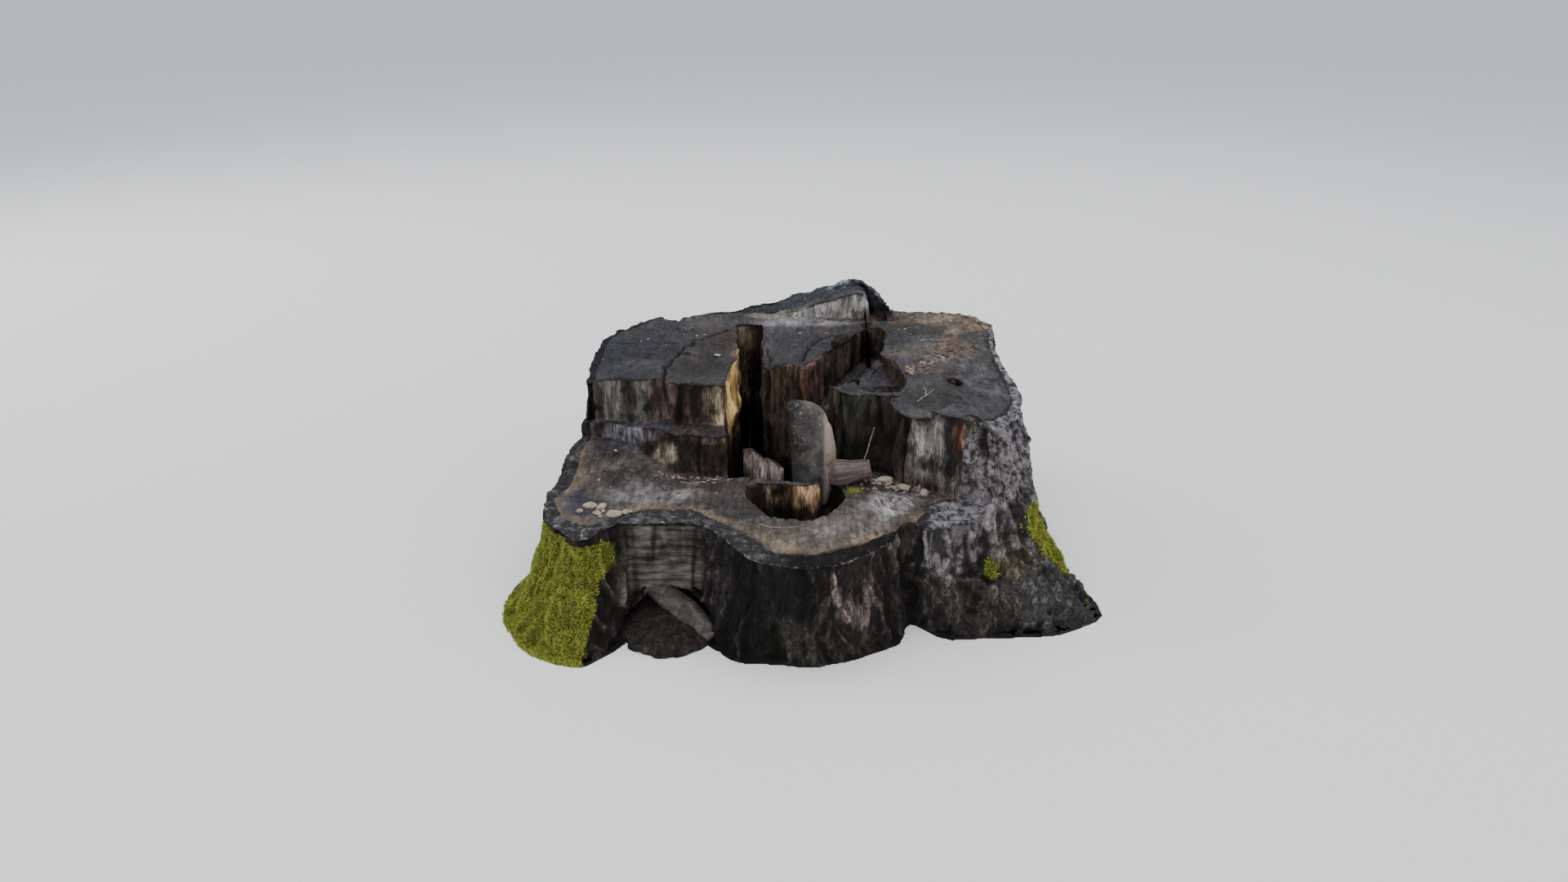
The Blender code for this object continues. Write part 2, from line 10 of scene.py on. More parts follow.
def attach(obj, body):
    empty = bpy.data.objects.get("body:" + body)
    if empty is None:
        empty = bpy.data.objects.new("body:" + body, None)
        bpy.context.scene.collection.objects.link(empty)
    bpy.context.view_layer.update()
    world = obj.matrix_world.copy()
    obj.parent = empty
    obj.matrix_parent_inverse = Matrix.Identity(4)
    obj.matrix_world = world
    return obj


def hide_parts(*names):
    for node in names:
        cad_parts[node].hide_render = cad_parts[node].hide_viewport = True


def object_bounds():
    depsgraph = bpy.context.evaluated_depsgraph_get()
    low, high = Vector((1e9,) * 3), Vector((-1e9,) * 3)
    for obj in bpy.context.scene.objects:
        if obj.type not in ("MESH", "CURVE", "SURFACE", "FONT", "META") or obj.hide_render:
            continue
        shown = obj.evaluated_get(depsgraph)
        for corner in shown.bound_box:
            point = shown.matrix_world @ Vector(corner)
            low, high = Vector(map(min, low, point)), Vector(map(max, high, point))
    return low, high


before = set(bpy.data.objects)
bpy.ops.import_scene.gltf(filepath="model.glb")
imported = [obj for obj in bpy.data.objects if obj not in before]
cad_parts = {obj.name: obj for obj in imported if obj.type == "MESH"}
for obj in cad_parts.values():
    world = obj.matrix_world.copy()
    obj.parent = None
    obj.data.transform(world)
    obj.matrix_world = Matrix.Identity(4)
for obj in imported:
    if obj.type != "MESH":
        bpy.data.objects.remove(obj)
cad_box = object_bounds()

# ---------------------------------------------------------------- the view
# The stump is seen from the front at about standing height, looking down at it.
CAMERA_PLACE, CAMERA_TILT = (-0.0288, -1.764, 1.0), math.radians(65)
SENSOR_WIDTH, FOCAL_LENGTH = 36, 24.45
camera_data = bpy.data.cameras.new("view_from_front")
camera_data.sensor_width = SENSOR_WIDTH
camera_data.lens = FOCAL_LENGTH
camera = bpy.data.objects.new("view_from_front", camera_data)
camera.location = CAMERA_PLACE
camera.rotation_euler = (CAMERA_TILT, 0, 0)
bpy.context.scene.collection.objects.link(camera)
bpy.context.scene.camera = camera

# ---------------------------------------------------------------- the trunk
# The stump of a wide old tree: grey furrowed bark round brown wood, left standing by a chain saw
# in steps, cracked by drying, and rotted out in the middle into torn upright fibres.

# The spacing of the carved skin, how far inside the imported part's box it stays, and what counts as one point
GRAIN = 0.003
CLEAR = 0.0002
WELD = 0.00002
# The middle of the yearly rings, seen from above, and how far apart the saw left its marks
PITH = (-0.020, 0.010)
SCORE_PITCH, STROKE_PITCH = 0.0115, 0.0155
FULL_TURN = 6.2832

# Where wood meets bark, seen from above: x, y
WOOD_EDGE = [
    (-0.409, -0.213), (-0.381, -0.277), (-0.337, -0.303), (-0.255, -0.242), (-0.175, -0.242),
    (-0.106, -0.303), (-0.041, -0.371), (0.020, -0.378), (0.096, -0.346), (0.157, -0.303),
    (0.178, -0.282), (0.197, -0.258), (0.203, -0.230), (0.222, -0.214), (0.262, -0.205),
    (0.290, -0.188), (0.310, -0.170), (0.336, -0.139),
    (0.355, -0.094), (0.361, -0.024), (0.349, 0.046), (0.345, 0.101), (0.355, 0.156),
    (0.339, 0.221), (0.296, 0.259), (0.233, 0.273), (0.186, 0.276), (0.176, 0.286),
    (0.161, 0.316), (0.101, 0.331), (0.011, 0.321), (-0.069, 0.306), (-0.139, 0.291),
    (-0.214, 0.261), (-0.244, 0.231), (-0.279, 0.254), (-0.324, 0.186), (-0.354, 0.106),
    (-0.359, 0.026), (-0.357, -0.059), (-0.374, -0.104), (-0.389, -0.154),
]

# Drying cracks in the sawn faces: the line of each, half its width, and its depth
CHECKS = [
    ([(-0.237, -0.080), (-0.238, -0.017), (-0.222, 0.050), (-0.195, 0.103), (-0.129, 0.158)], 0.0019, 0.012),
    ([(-0.222, 0.050), (-0.178, 0.034), (-0.140, 0.040)], 0.0014, 0.006),
    ([(-0.062, 0.075), (-0.052, 0.026), (-0.053, -0.020)], 0.0016, 0.010),
    ([(0.070, 0.133), (0.037, 0.112), (0.011, 0.046), (-0.001, 0.010)], 0.0019, 0.014),
    ([(0.037, 0.112), (0.020, 0.150), (-0.020, 0.175)], 0.0014, 0.006),
    ([(0.205, 0.036), (0.262, 0.050), (0.330, 0.092)], 0.0015, 0.007),
    ([(0.145, 0.205), (0.190, 0.180), (0.250, 0.196)], 0.0014, 0.005),
    ([(0.208, -0.010), (0.250, -0.016), (0.300, 0.004), (0.352, -0.010)], 0.0016, 0.008),
    ([(-0.300, -0.020), (-0.262, 0.060), (-0.250, 0.150)], 0.0012, 0.004),
    ([(-0.330, 0.085), (-0.280, 0.100), (-0.225, 0.090)], 0.0012, 0.004),
    ([(-0.140, -0.150), (-0.200, -0.190), (-0.262, -0.200), (-0.330, -0.190)], 0.0014, 0.005),
    ([(-0.050, -0.262), (-0.075, -0.300), (-0.088, -0.340)], 0.0014, 0.006),
    ([(0.052, -0.236), (0.090, -0.270), (0.118, -0.318)], 0.0016, 0.008),
    ([(0.070, -0.200), (0.120, -0.215), (0.165, -0.245)], 0.0015, 0.007),
    ([(0.010, -0.262), (0.020, -0.310), (0.012, -0.365)], 0.0012, 0.005),
    ([(-0.120, -0.200), (-0.150, -0.235)], 0.0012, 0.005),
]

# What the chips and crumbs lie on stays level with its solid: x, y, radius
REST_PLACES = [(-0.330, -0.250, 0.060), (0.172, -0.176, 0.050)]


def only(obj):
    """Leaves obj alone selected, and active."""
    bpy.ops.object.select_all(action="DESELECT")
    obj.select_set(True)
    bpy.context.view_layer.objects.active = obj


def modify(obj, kind, **settings):
    """Puts one modifier on obj and applies it."""
    only(obj)
    made = obj.modifiers.new(kind.lower(), kind)
    for key, value in settings.items():
        setattr(made, key, value)
    bpy.ops.object.modifier_apply(modifier=made.name)


def carving_blank(node, name, grain):
    """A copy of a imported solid, its loose triangles joined, then laid over with an even fine skin."""
    only(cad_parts[node])
    bpy.ops.object.duplicate()
    blank = bpy.context.active_object
    blank.name = blank.data.name = name
    blank.parent = None
    for key in list(blank.keys()):
        del blank[key]
    blank.data.materials.clear()
    bpy.ops.object.mode_set(mode="EDIT")
    bpy.ops.mesh.select_all(action="SELECT")
    bpy.ops.mesh.remove_doubles(threshold=WELD)
    bpy.ops.object.mode_set(mode="OBJECT")
    modify(blank, "REMESH", mode="VOXEL", voxel_size=grain)
    return blank


def fetched(things, key, width=1, kind=np.float32):
    """What Blender stores under key for each of the things, as one row of numbers or width columns."""
    found = np.empty(len(things) * width, kind)
    things.foreach_get(key, found)
    return found.reshape(-1, width) if width > 1 else found


def points_of(mesh):
    return fetched(mesh.vertices, "co", 3)


def normals_of(mesh):
    return fetched(mesh.vertex_normals, "vector", 3)


def move_points(mesh, points):
    mesh.vertices.foreach_set("co", points.astype(np.float32).ravel())
    mesh.update()


def keep_values(mesh, name, values):
    """Stores one number for each point, for a material to read by name."""
    layer = mesh.attributes.new(name, "FLOAT", "POINT")
    layer.data.foreach_set("value", np.ascontiguousarray(values, np.float32))


def coat(piece, material):
    """Gives the piece this material alone."""
    piece.data.materials.clear()
    piece.data.materials.append(material)


def keep_colours(mesh, name, colours):
    """Stores one colour for each point, for a material to read by name."""
    layer = mesh.attributes.new(name, "FLOAT_COLOR", "POINT")
    layer.data.foreach_set("color", np.c_[colours, np.ones(len(colours))].astype(np.float32).ravel())


def ease(low, high, value):
    """0 below low, 1 above high, and smooth between them."""
    t = np.clip((value - low) / (high - low), 0, 1)
    return t * t * (3 - 2 * t)


def corner_number(corner, seed):
    """A number from 0 to 1 for each corner of a lattice, always the same for the same corner."""
    n = (
        corner[:, 0].astype(np.uint32) * np.uint32(374761393)
        + corner[:, 1].astype(np.uint32) * np.uint32(668265263)
        + corner[:, 2].astype(np.uint32) * np.uint32(2246822519)
        + np.uint32(seed * 97531 + 12345)
    )
    n = (n ^ (n >> np.uint32(15))) * np.uint32(2246822519)
    n = (n ^ (n >> np.uint32(13))) * np.uint32(3266489917)
    return ((n ^ (n >> np.uint32(16))) / 4294967295).astype(np.float32)


def lengths(size):
    """A wavelength for x, y and z, where one number stands for all three."""
    return np.broadcast_to(np.array(size, np.float32), 3)


def swell(points, size, seed=0):
    """Smooth irregular swelling from -1 to 1; size is its wavelength, one number or one for each axis."""
    p = points / lengths(size)
    base = np.floor(p)
    t = p - base
    t = t * t * (3 - 2 * t)
    base = base.astype(np.int64)
    total = np.zeros(len(p), np.float32)
    for step in np.ndindex(2, 2, 2):
        share_x, share_y, share_z = (t[:, k] if step[k] else 1 - t[:, k] for k in range(3))
        total += share_x * share_y * share_z * corner_number(base + step, seed)
    return total * 2 - 1


def rough(points, size, octaves, seed=0):
    """Swelling with ever finer swelling on it, about -1 to 1."""
    total = sum(swell(points, lengths(size) / 2**k, seed + k) / 2**k for k in range(octaves))
    return total / (2 - 2 ** (1 - octaves))


def ribs(points, size, octaves, seed=0):
    """0 on flat ground and 1 along sharp irregular ridges."""
    total = sum((1 - np.abs(swell(points, lengths(size) / 2**k, seed + k)) * 2) / 2**k for k in range(octaves))
    return np.clip(total / (2 - 2 ** (1 - octaves)), 0, 1)


def plates(points, size, seed=0):
    """How far each point is from the crack round its plate: 0 in the crack, about 1 at the middle."""
    p = points / lengths(size)
    base = np.floor(p).astype(np.int64)
    first = np.full(len(p), 9.0, np.float32)
    second = first.copy()
    for step in np.ndindex(3, 3, 3):
        corner = base + step - 1
        centre = corner + np.stack([corner_number(corner, seed + k) for k in range(3)], 1)
        gap = np.sqrt(((p - centre) ** 2).sum(1))
        second = np.minimum(second, np.maximum(first, gap))
        first = np.minimum(first, gap)
    return second - first


def spot(*axes):
    """1 in the middle and fading out round it. Each axis gives its values, its middle and its reach."""
    return np.exp(-sum(((value - middle) / reach) ** 2 for value, middle, reach in axes))


def line_gap(x, y, line, closed=False):
    """Distance seen from above to a line; inside a closed line it is below 0."""
    ends = np.array(line, np.float32)
    starts, stops = (ends, np.roll(ends, -1, 0)) if closed else (ends[:-1], ends[1:])
    gap = np.full(len(x), 9.0, np.float32)
    inside = np.zeros(len(x), bool)
    for (ax, ay), (bx, by) in zip(starts, stops):
        ux, uy = bx - ax, by - ay
        t = np.clip(((x - ax) * ux + (y - ay) * uy) / (ux * ux + uy * uy), 0, 1)
        gap = np.minimum(gap, np.hypot(x - ax - t * ux, y - ay - t * uy))
        if closed and ay != by:
            inside ^= ((ay > y) != (by > y)) & (x < ux * (y - ay) / uy + ax)
    return np.where(inside, -gap, gap)


trunk = carving_blank("stump", "carved_trunk", GRAIN)
modify(trunk, "SMOOTH", factor=0.5, iterations=4)
skin = points_of(trunk.data)
facing = normals_of(trunk.data)
x, y, z = skin.T
edge = line_gap(x, y, WOOD_EDGE, closed=True)
wander = rough(skin, 0.05, 3, 70)
stray = np.stack([swell(skin, (0.028, 0.028, 0.060), seed) for seed in (101, 102, 103)], 1)
in_notch = (
    ease(-0.290, -0.278, x) * (1 - ease(-0.168, -0.156, x))
    * ease(0.046, 0.054, z) * (1 - ease(0.158, 0.168, z)) * (1 - ease(-0.262, -0.252, y))
)
painted_cave_shade = (1 - ease(0.060, 0.085, np.sqrt((x + 0.214) ** 2 + ((y + 0.349) * 0.9) ** 2 + ((z - 0.012) * 1.3) ** 2)))
in_shell = np.maximum(ease(0.262, 0.272, y + 0.004 * wander), ease(0.150, 0.158, x) * ease(0.215, 0.225, y))
in_shell = in_shell * ease(0.326, 0.333, z - 0.014 * ease(0.175, 0.195, x))
in_block = ease(0.222, 0.230, y) * (1 - in_shell) * ease(0.334, 0.340, z)
on_rise = ease(0.296, 0.318, x) * ease(-0.135, -0.150, y) * (1 - ease(0.285, 0.300, z))
is_level = ease(0.55, 0.80, facing[:, 2]) * ease(0.150, 0.160, z) * (1 - in_shell) * (1 - on_rise)
is_high = ease(0.195, 0.235, z)
bark_start = edge + 0.003 * wander + 0.0022 * stray[:, 0] + 0.0012 * swell(skin, 0.009, 104)
is_bark = np.maximum(ease(-0.0015, 0.0015, bark_start), np.maximum(in_shell, on_rise * ease(-0.030, -0.010, edge)))
is_bark = is_bark * (1 - in_notch)
is_flank = is_bark * (1 - is_level)
is_ring = is_bark * is_level
is_sawn = (1 - is_bark) * is_level
is_torn = (1 - is_bark) * (1 - is_level)

# Bark: upright ridges that part and join, with narrower ones on them, cross cracks and a crust
pulled = skin + 0.009 * stray
ridge = ribs(pulled, (0.030, 0.030, 0.140), 2, 21)
small_ridge = ribs(pulled, (0.012, 0.012, 0.042), 2, 25)
cross_crack = spot((plates(pulled, (0.024, 0.024, 0.034), 11), 0, 0.11)) * ease(-0.2, 0.4, wander)
crust = rough(skin, (0.010, 0.010, 0.012), 3, 41)
lump = swell(pulled, (0.034, 0.034, 0.050), 45)
on_right = ease(0.15, 0.24, x) * (1 - ease(-0.02, 0.06, y))
bark_relief = -0.0105 * (1 - ridge) ** 1.3 - 0.0055 * (1 - small_ridge) - 0.0034 * cross_crack
bark_relief += 0.0026 * crust + (0.0020 + 0.0045 * on_right) * lump
shell_relief = (
    0.0110 * (rough(pulled, (0.040, 0.040, 0.034), 3, 47) - 0.35) + 0.0016 * crust - 0.0020 * (1 - small_ridge)
)

# Torn wood: upright columns, flutes and splinters, ragged where a saw cut ends them
column = swell(skin, (0.060, 0.060, 0.300), 65)
flute = ribs(skin + 0.006 * stray, (0.027, 0.027, 0.150), 3, 51)
splinter = ribs(skin + 0.003 * stray, (0.0088, 0.0088, 0.070), 2, 61)
torn_relief = -0.0066 * (1 - flute) - 0.0030 * (1 - splinter) + 0.0048 * column
crumbled = rough(skin + 0.004 * stray, (0.022, 0.022, 0.030), 4, 67)
crumbly = ease(-0.25, 0.35, rough(skin, (0.080, 0.080, 0.060), 2, 68))
wall_gap = spot((swell(skin + 0.005 * stray, (0.050, 0.050, 0.450), 66), 0, 0.075))
torn_relief -= 0.0080 * wall_gap
torn_relief = torn_relief * (1 - 0.45 * crumbly) + 0.0080 * crumbled * (0.35 + 0.65 * crumbly)

# Sawn wood, weathered: the chain's scores, hollows where soft wood went, lifted fibres, fine splits
from_pith = np.hypot(x - PITH[0], y - PITH[1])
spoke = np.arctan2(y - PITH[1], x - PITH[0])
fan = np.c_[np.cos(spoke) * 0.30, np.sin(spoke) * 0.30, from_pith * 0.16]
heading = np.where(x < -0.08, 0.55, np.where(z > 0.27, -0.5, 0.15))
along = x * np.cos(heading) + y * np.sin(heading) + 0.012 * swell(skin, 0.14, 71)
score = 0.5 + 0.5 * np.sin(along * 2 * math.pi / SCORE_PITCH)
worn = rough(skin, 0.045, 4, 75)
split = spot((swell(fan, 0.011, 81), 0, 0.10)) * ease(0.0, 0.35, swell(fan, (0.016, 0.016, 0.010), 82))
small_split = spot((swell(fan, (0.0046, 0.0046, 0.0060), 84), 0, 0.14)) * ease(0.1, 0.5, worn)
lifted = rough(skin + 0.003 * stray, 0.0085, 2, 86)
sawn_relief = -0.0009 * score * ease(-0.3, 0.5, rough(skin, 0.07, 2, 73)) + 0.0024 * worn + 0.0009 * lifted
sawn_relief -= 0.0030 * ease(0.12, 0.30, rough(skin, 0.08, 3, 77)) + 0.0026 * split + 0.0012 * small_split

ring_relief = -0.0034 * (1 - ribs(pulled, 0.016, 2, 79)) + 0.0016 * crust - 0.0022 * spot((bark_start, 0, 0.0022))

stroke_wave = np.sin((z + 0.005 * swell(skin, 0.05, 85)) * 2 * math.pi / STROKE_PITCH + 0.6)
stroke = ease(0.1, 0.9, stroke_wave + 0.9 * swell(skin, (0.030, 0.030, 0.010), 86))
notch_relief = -0.0026 * stroke + 0.0014 * rough(skin, (0.030, 0.030, 0.008), 3, 83) - 0.0010 * (1 - splinter)

relief = is_flank * bark_relief + is_torn * torn_relief + is_sawn * sawn_relief + is_ring * ring_relief
relief = relief * (1 - in_shell) + shell_relief * in_shell
relief = relief * (1 - in_notch) + notch_relief * in_notch
ends = fetched(trunk.data.edges, "vertices", 2, np.int32)
neighbours = np.bincount(ends.ravel(), minlength=len(x))
upward = ease(0.3, 0.8, facing[:, 2]) * ease(0.14, 0.16, z)
for _ in range(5):
    around = (
        np.bincount(ends[:, 0], upward[ends[:, 1]], len(x)) + np.bincount(ends[:, 1], upward[ends[:, 0]], len(x))
    )
    upward = 0.3 * upward + 0.7 * around / neighbours
broken_edge = 4 * upward * (1 - upward) * (1 - in_shell)
nick = rough(skin + 0.004 * stray, 0.026, 4, 87)
relief += broken_edge * (0.0095 * np.minimum(nick, 0.25) - 0.0034)
calm = np.ones(len(x), np.float32)
for place_x, place_y, reach in REST_PLACES:
    calm *= ease(0.6, 1.2, np.hypot(x - place_x, y - place_y) / reach)
relief = np.where(is_level > 0.5, relief * calm + 0.0004 * (1 - calm), relief)
check_depth = np.zeros(len(x), np.float32)
for line, half_width, depth in CHECKS:
    jag_x = 0.0045 * swell(skin, (0.018, 0.018, 9), 91) + 0.0014 * swell(skin, (0.006, 0.006, 9), 93)
    jag_y = 0.0045 * swell(skin, (0.018, 0.018, 9), 92) + 0.0014 * swell(skin, (0.006, 0.006, 9), 94)
    gap = line_gap(x + jag_x, y + jag_y, line)
    check_depth = np.maximum(check_depth, depth * spot((gap, 0, half_width)) * is_sawn)
resting = ease(0.001, 0.004, z)
carved = skin + facing * (relief * resting)[:, None]
carved[:, 2] -= check_depth
carved[z < 0.0008, 2] = 0
low, high = (np.array(corner, np.float32) for corner in cad_box)
carved = np.clip(carved, low + (CLEAR, CLEAR, 0), high - CLEAR)
move_points(trunk.data, carved)

# Colours of the wood and bark by place: middle, reach, colour, and how fully it covers
SAWN_COLOURS = [
    ((-0.300, 0.050, 0.33), (0.11, 0.14, 0.05), (0.018, 0.018, 0.026), 0.90),
    ((-0.280, -0.010, 0.33), (0.050, 0.030, 0.03), (0.060, 0.056, 0.058), 0.45),
    ((-0.235, 0.130, 0.33), (0.05, 0.06, 0.03), (0.030, 0.029, 0.037), 0.70),
    ((-0.180, -0.010, 0.33), (0.060, 0.060, 0.03), (0.020, 0.015, 0.015), 0.85),
    ((-0.190, 0.215, 0.33), (0.060, 0.050, 0.03), (0.055, 0.050, 0.050), 0.80),
    ((-0.145, 0.110, 0.33), (0.035, 0.060, 0.03), (0.036, 0.023, 0.018), 0.75),
    ((-0.195, 0.060, 0.33), (0.030, 0.045, 0.03), (0.050, 0.044, 0.044), 0.60),
    ((-0.114, 0.060, 0.335), (0.009, 0.070, 0.02), (0.150, 0.100, 0.045), 0.60),
    ((0.020, 0.080, 0.33), (0.080, 0.100, 0.03), (0.026, 0.024, 0.030), 0.85),
    ((0.060, 0.150, 0.33), (0.050, 0.040, 0.03), (0.040, 0.031, 0.029), 0.70),
    ((0.020, 0.210, 0.34), (0.130, 0.034, 0.03), (0.155, 0.150, 0.156), 0.85),
    ((-0.060, 0.250, 0.34), (0.045, 0.020, 0.03), (0.240, 0.215, 0.180), 0.75),
    ((0.165, 0.170, 0.33), (0.095, 0.080, 0.03), (0.018, 0.0165, 0.017), 0.90),
    ((0.290, 0.205, 0.33), (0.085, 0.070, 0.03), (0.130, 0.095, 0.066), 0.80),
    ((0.235, 0.120, 0.33), (0.036, 0.034, 0.03), (0.034, 0.034, 0.046), 0.75),
    ((0.225, 0.168, 0.33), (0.062, 0.040, 0.03), (0.021, 0.020, 0.021), 0.90),
    ((0.130, 0.090, 0.28), (0.045, 0.090, 0.04), (0.034, 0.032, 0.041), 0.80),
    ((0.250, 0.065, 0.33), (0.080, 0.036, 0.03), (0.105, 0.092, 0.078), 0.75),
    ((0.320, 0.060, 0.32), (0.050, 0.050, 0.04), (0.075, 0.072, 0.071), 0.75),
    ((0.330, -0.020, 0.30), (0.060, 0.060, 0.04), (0.052, 0.048, 0.052), 0.80),
    ((0.215, 0.005, 0.32), (0.050, 0.022, 0.03), (0.075, 0.062, 0.052), 0.70),
    ((0.240, -0.095, 0.30), (0.065, 0.050, 0.03), (0.026, 0.024, 0.025), 0.90),
    ((0.235, -0.165, 0.31), (0.080, 0.024, 0.03), (0.042, 0.038, 0.040), 0.80),
    ((0.110, -0.060, 0.29), (0.050, 0.030, 0.04), (0.030, 0.022, 0.020), 0.85),
    ((0.145, 0.010, 0.29), (0.055, 0.060, 0.04), (0.030, 0.028, 0.034), 0.90),
    ((-0.340, -0.075, 0.225), (0.070, 0.050, 0.03), (0.042, 0.036, 0.041), 0.80),
    ((-0.275, -0.090, 0.240), (0.060, 0.036, 0.03), (0.085, 0.080, 0.098), 0.85),
    ((-0.180, -0.095, 0.248), (0.060, 0.034, 0.02), (0.050, 0.034, 0.031), 0.80),
    ((-0.385, -0.245, 0.17), (0.055, 0.062, 0.03), (0.022, 0.021, 0.032), 0.95),
    ((-0.300, -0.155, 0.17), (0.060, 0.030, 0.03), (0.038, 0.032, 0.031), 0.80),
    ((-0.245, -0.190, 0.17), (0.085, 0.045, 0.03), (0.120, 0.112, 0.112), 0.90),
    ((-0.150, -0.150, 0.17), (0.110, 0.036, 0.03), (0.040, 0.031, 0.030), 0.90),
    ((-0.110, -0.235, 0.17), (0.060, 0.040, 0.03), (0.034, 0.029, 0.029), 0.85),
    ((-0.030, -0.335, 0.17), (0.110, 0.045, 0.03), (0.100, 0.082, 0.066), 0.85),
    ((0.070, -0.310, 0.17), (0.080, 0.045, 0.03), (0.114, 0.097, 0.088), 0.80),
    ((0.140, -0.225, 0.17), (0.055, 0.045, 0.03), (0.250, 0.236, 0.230), 0.90),
    ((0.090, -0.190, 0.17), (0.035, 0.030, 0.03), (0.055, 0.045, 0.038), 0.70),
    ((0.165, -0.170, 0.17), (0.060, 0.020, 0.03), (0.034, 0.028, 0.025), 0.80),
]
TORN_COLOURS = [
    ((-0.310, -0.070, 0.29), (0.056, 0.050, 0.07), (0.165, 0.155, 0.141), 0.85),
    ((-0.205, -0.080, 0.28), (0.060, 0.050, 0.07), (0.104, 0.068, 0.058), 0.90),
    ((-0.142, -0.080, 0.28), (0.020, 0.040, 0.05), (0.504, 0.389, 0.263), 0.85),
    ((-0.114, 0.000, 0.27), (0.014, 0.090, 0.09), (0.800, 0.540, 0.210), 0.95),
    ((-0.112, 0.110, 0.30), (0.012, 0.080, 0.06), (0.336, 0.242, 0.137), 0.85),
    ((-0.095, 0.195, 0.25), (0.050, 0.020, 0.12), (0.165, 0.115, 0.075), 0.90),
    ((-0.040, -0.010, 0.27), (0.060, 0.050, 0.08), (0.062, 0.041, 0.028), 0.85),
    ((0.014, -0.006, 0.30), (0.022, 0.030, 0.05), (0.158, 0.076, 0.048), 0.90),
    ((0.030, 0.022, 0.29), (0.040, 0.050, 0.05), (0.098, 0.060, 0.050), 0.80),
    ((0.080, 0.100, 0.30), (0.050, 0.060, 0.05), (0.055, 0.038, 0.032), 0.80),
    ((0.100, -0.100, 0.25), (0.080, 0.030, 0.08), (0.030, 0.026, 0.018), 0.85),
    ((0.085, -0.096, 0.29), (0.040, 0.025, 0.03), (0.036, 0.040, 0.026), 0.85),
    ((0.225, -0.180, 0.25), (0.062, 0.050, 0.08), (0.185, 0.172, 0.160), 0.90),
    ((0.254, -0.190, 0.27), (0.007, 0.020, 0.045), (0.260, 0.085, 0.030), 0.85),
    ((-0.233, -0.108, 0.205), (0.024, 0.022, 0.020), (0.560, 0.450, 0.340), 0.90),
    ((-0.170, -0.120, 0.21), (0.050, 0.030, 0.04), (0.025, 0.017, 0.015), 0.90),
    ((-0.004, -0.150, 0.15), (0.056, 0.030, 0.04), (0.640, 0.400, 0.225), 0.95),
    ((0.036, -0.230, 0.15), (0.070, 0.040, 0.03), (0.189, 0.130, 0.095), 0.80),
    ((-0.080, -0.180, 0.14), (0.034, 0.050, 0.04), (0.520, 0.340, 0.220), 0.85),
    ((-0.060, -0.088, 0.17), (0.060, 0.020, 0.05), (0.231, 0.185, 0.164), 0.90),
    ((0.050, 0.250, 0.36), (0.130, 0.034, 0.04), (0.330, 0.312, 0.296), 0.95),
    ((0.150, -0.120, 0.24), (0.055, 0.050, 0.10), (0.017, 0.0135, 0.0115), 0.90),
    ((0.100, -0.110, 0.20), (0.060, 0.040, 0.07), (0.020, 0.015, 0.012), 0.85),
    ((0.062, -0.165, 0.13), (0.030, 0.040, 0.05), (0.020, 0.014, 0.012), 0.90),
    ((-0.170, -0.095, 0.225), (0.060, 0.030, 0.02), (0.024, 0.016, 0.014), 0.75),
    ((-0.300, -0.090, 0.230), (0.060, 0.050, 0.016), (0.200, 0.192, 0.222), 0.90),
    ((-0.150, -0.110, 0.235), (0.050, 0.030, 0.010), (0.150, 0.110, 0.080), 0.60),
]
BARK_COLOURS = [
    ((0.090, 0.330, 0.36), (0.200, 0.090, 0.06), (0.042, 0.047, 0.058), 0.95),
    ((0.078, 0.322, 0.385), (0.024, 0.030, 0.02), (0.270, 0.320, 0.390), 0.85),
    ((0.165, 0.310, 0.370), (0.030, 0.040, 0.03), (0.106, 0.110, 0.123), 0.70),
    ((-0.040, -0.390, 0.08), (0.080, 0.080, 0.10), (0.0095, 0.0085, 0.0085), 0.90),
    ((0.020, -0.420, 0.03), (0.120, 0.060, 0.045), (0.046, 0.041, 0.034), 0.80),
    ((0.090, -0.390, 0.11), (0.065, 0.080, 0.12), (0.205, 0.162, 0.142), 0.90),
    ((0.300, -0.260, 0.13), (0.180, 0.130, 0.15), (0.086, 0.075, 0.066), 0.90),
    ((0.330, -0.260, 0.095), (0.060, 0.060, 0.045), (0.078, 0.070, 0.030), 0.65),
    ((0.255, -0.260, 0.165), (0.085, 0.080, 0.050), (0.200, 0.180, 0.182), 0.80),
    ((0.232, -0.300, 0.135), (0.038, 0.036, 0.058), (0.400, 0.362, 0.372), 0.90),
    ((0.420, -0.220, 0.04), (0.120, 0.160, 0.05), (0.064, 0.061, 0.061), 0.80),
    ((-0.390, -0.330, 0.08), (0.120, 0.120, 0.10), (0.062, 0.053, 0.035), 0.80),
]


def lay_colours(colours, where, patches, seed):
    """Lays each patch over the colours, fading out along a ragged edge."""
    ragged = 0.45 * rough(skin, 0.036, 5, seed)
    for middle, reach, colour, cover in patches:
        gap = np.sqrt((((skin - np.array(middle, np.float32)) / np.array(reach, np.float32)) ** 2).sum(1))
        share = (cover * where * (1 - ease(0.60, 1.15, gap + ragged)))[:, None]
        colours += (np.array(colour, np.float32) - colours) * share


def plain(tint):
    """The same colour at every point of the trunk."""
    return np.tile(np.array(tint, np.float32), (len(x), 1))


def mixed(under, over, share):
    """Colour over laid on the colours under, as fully as share says at each point."""
    return under + (np.array(over, np.float32) - under) * share[:, None]


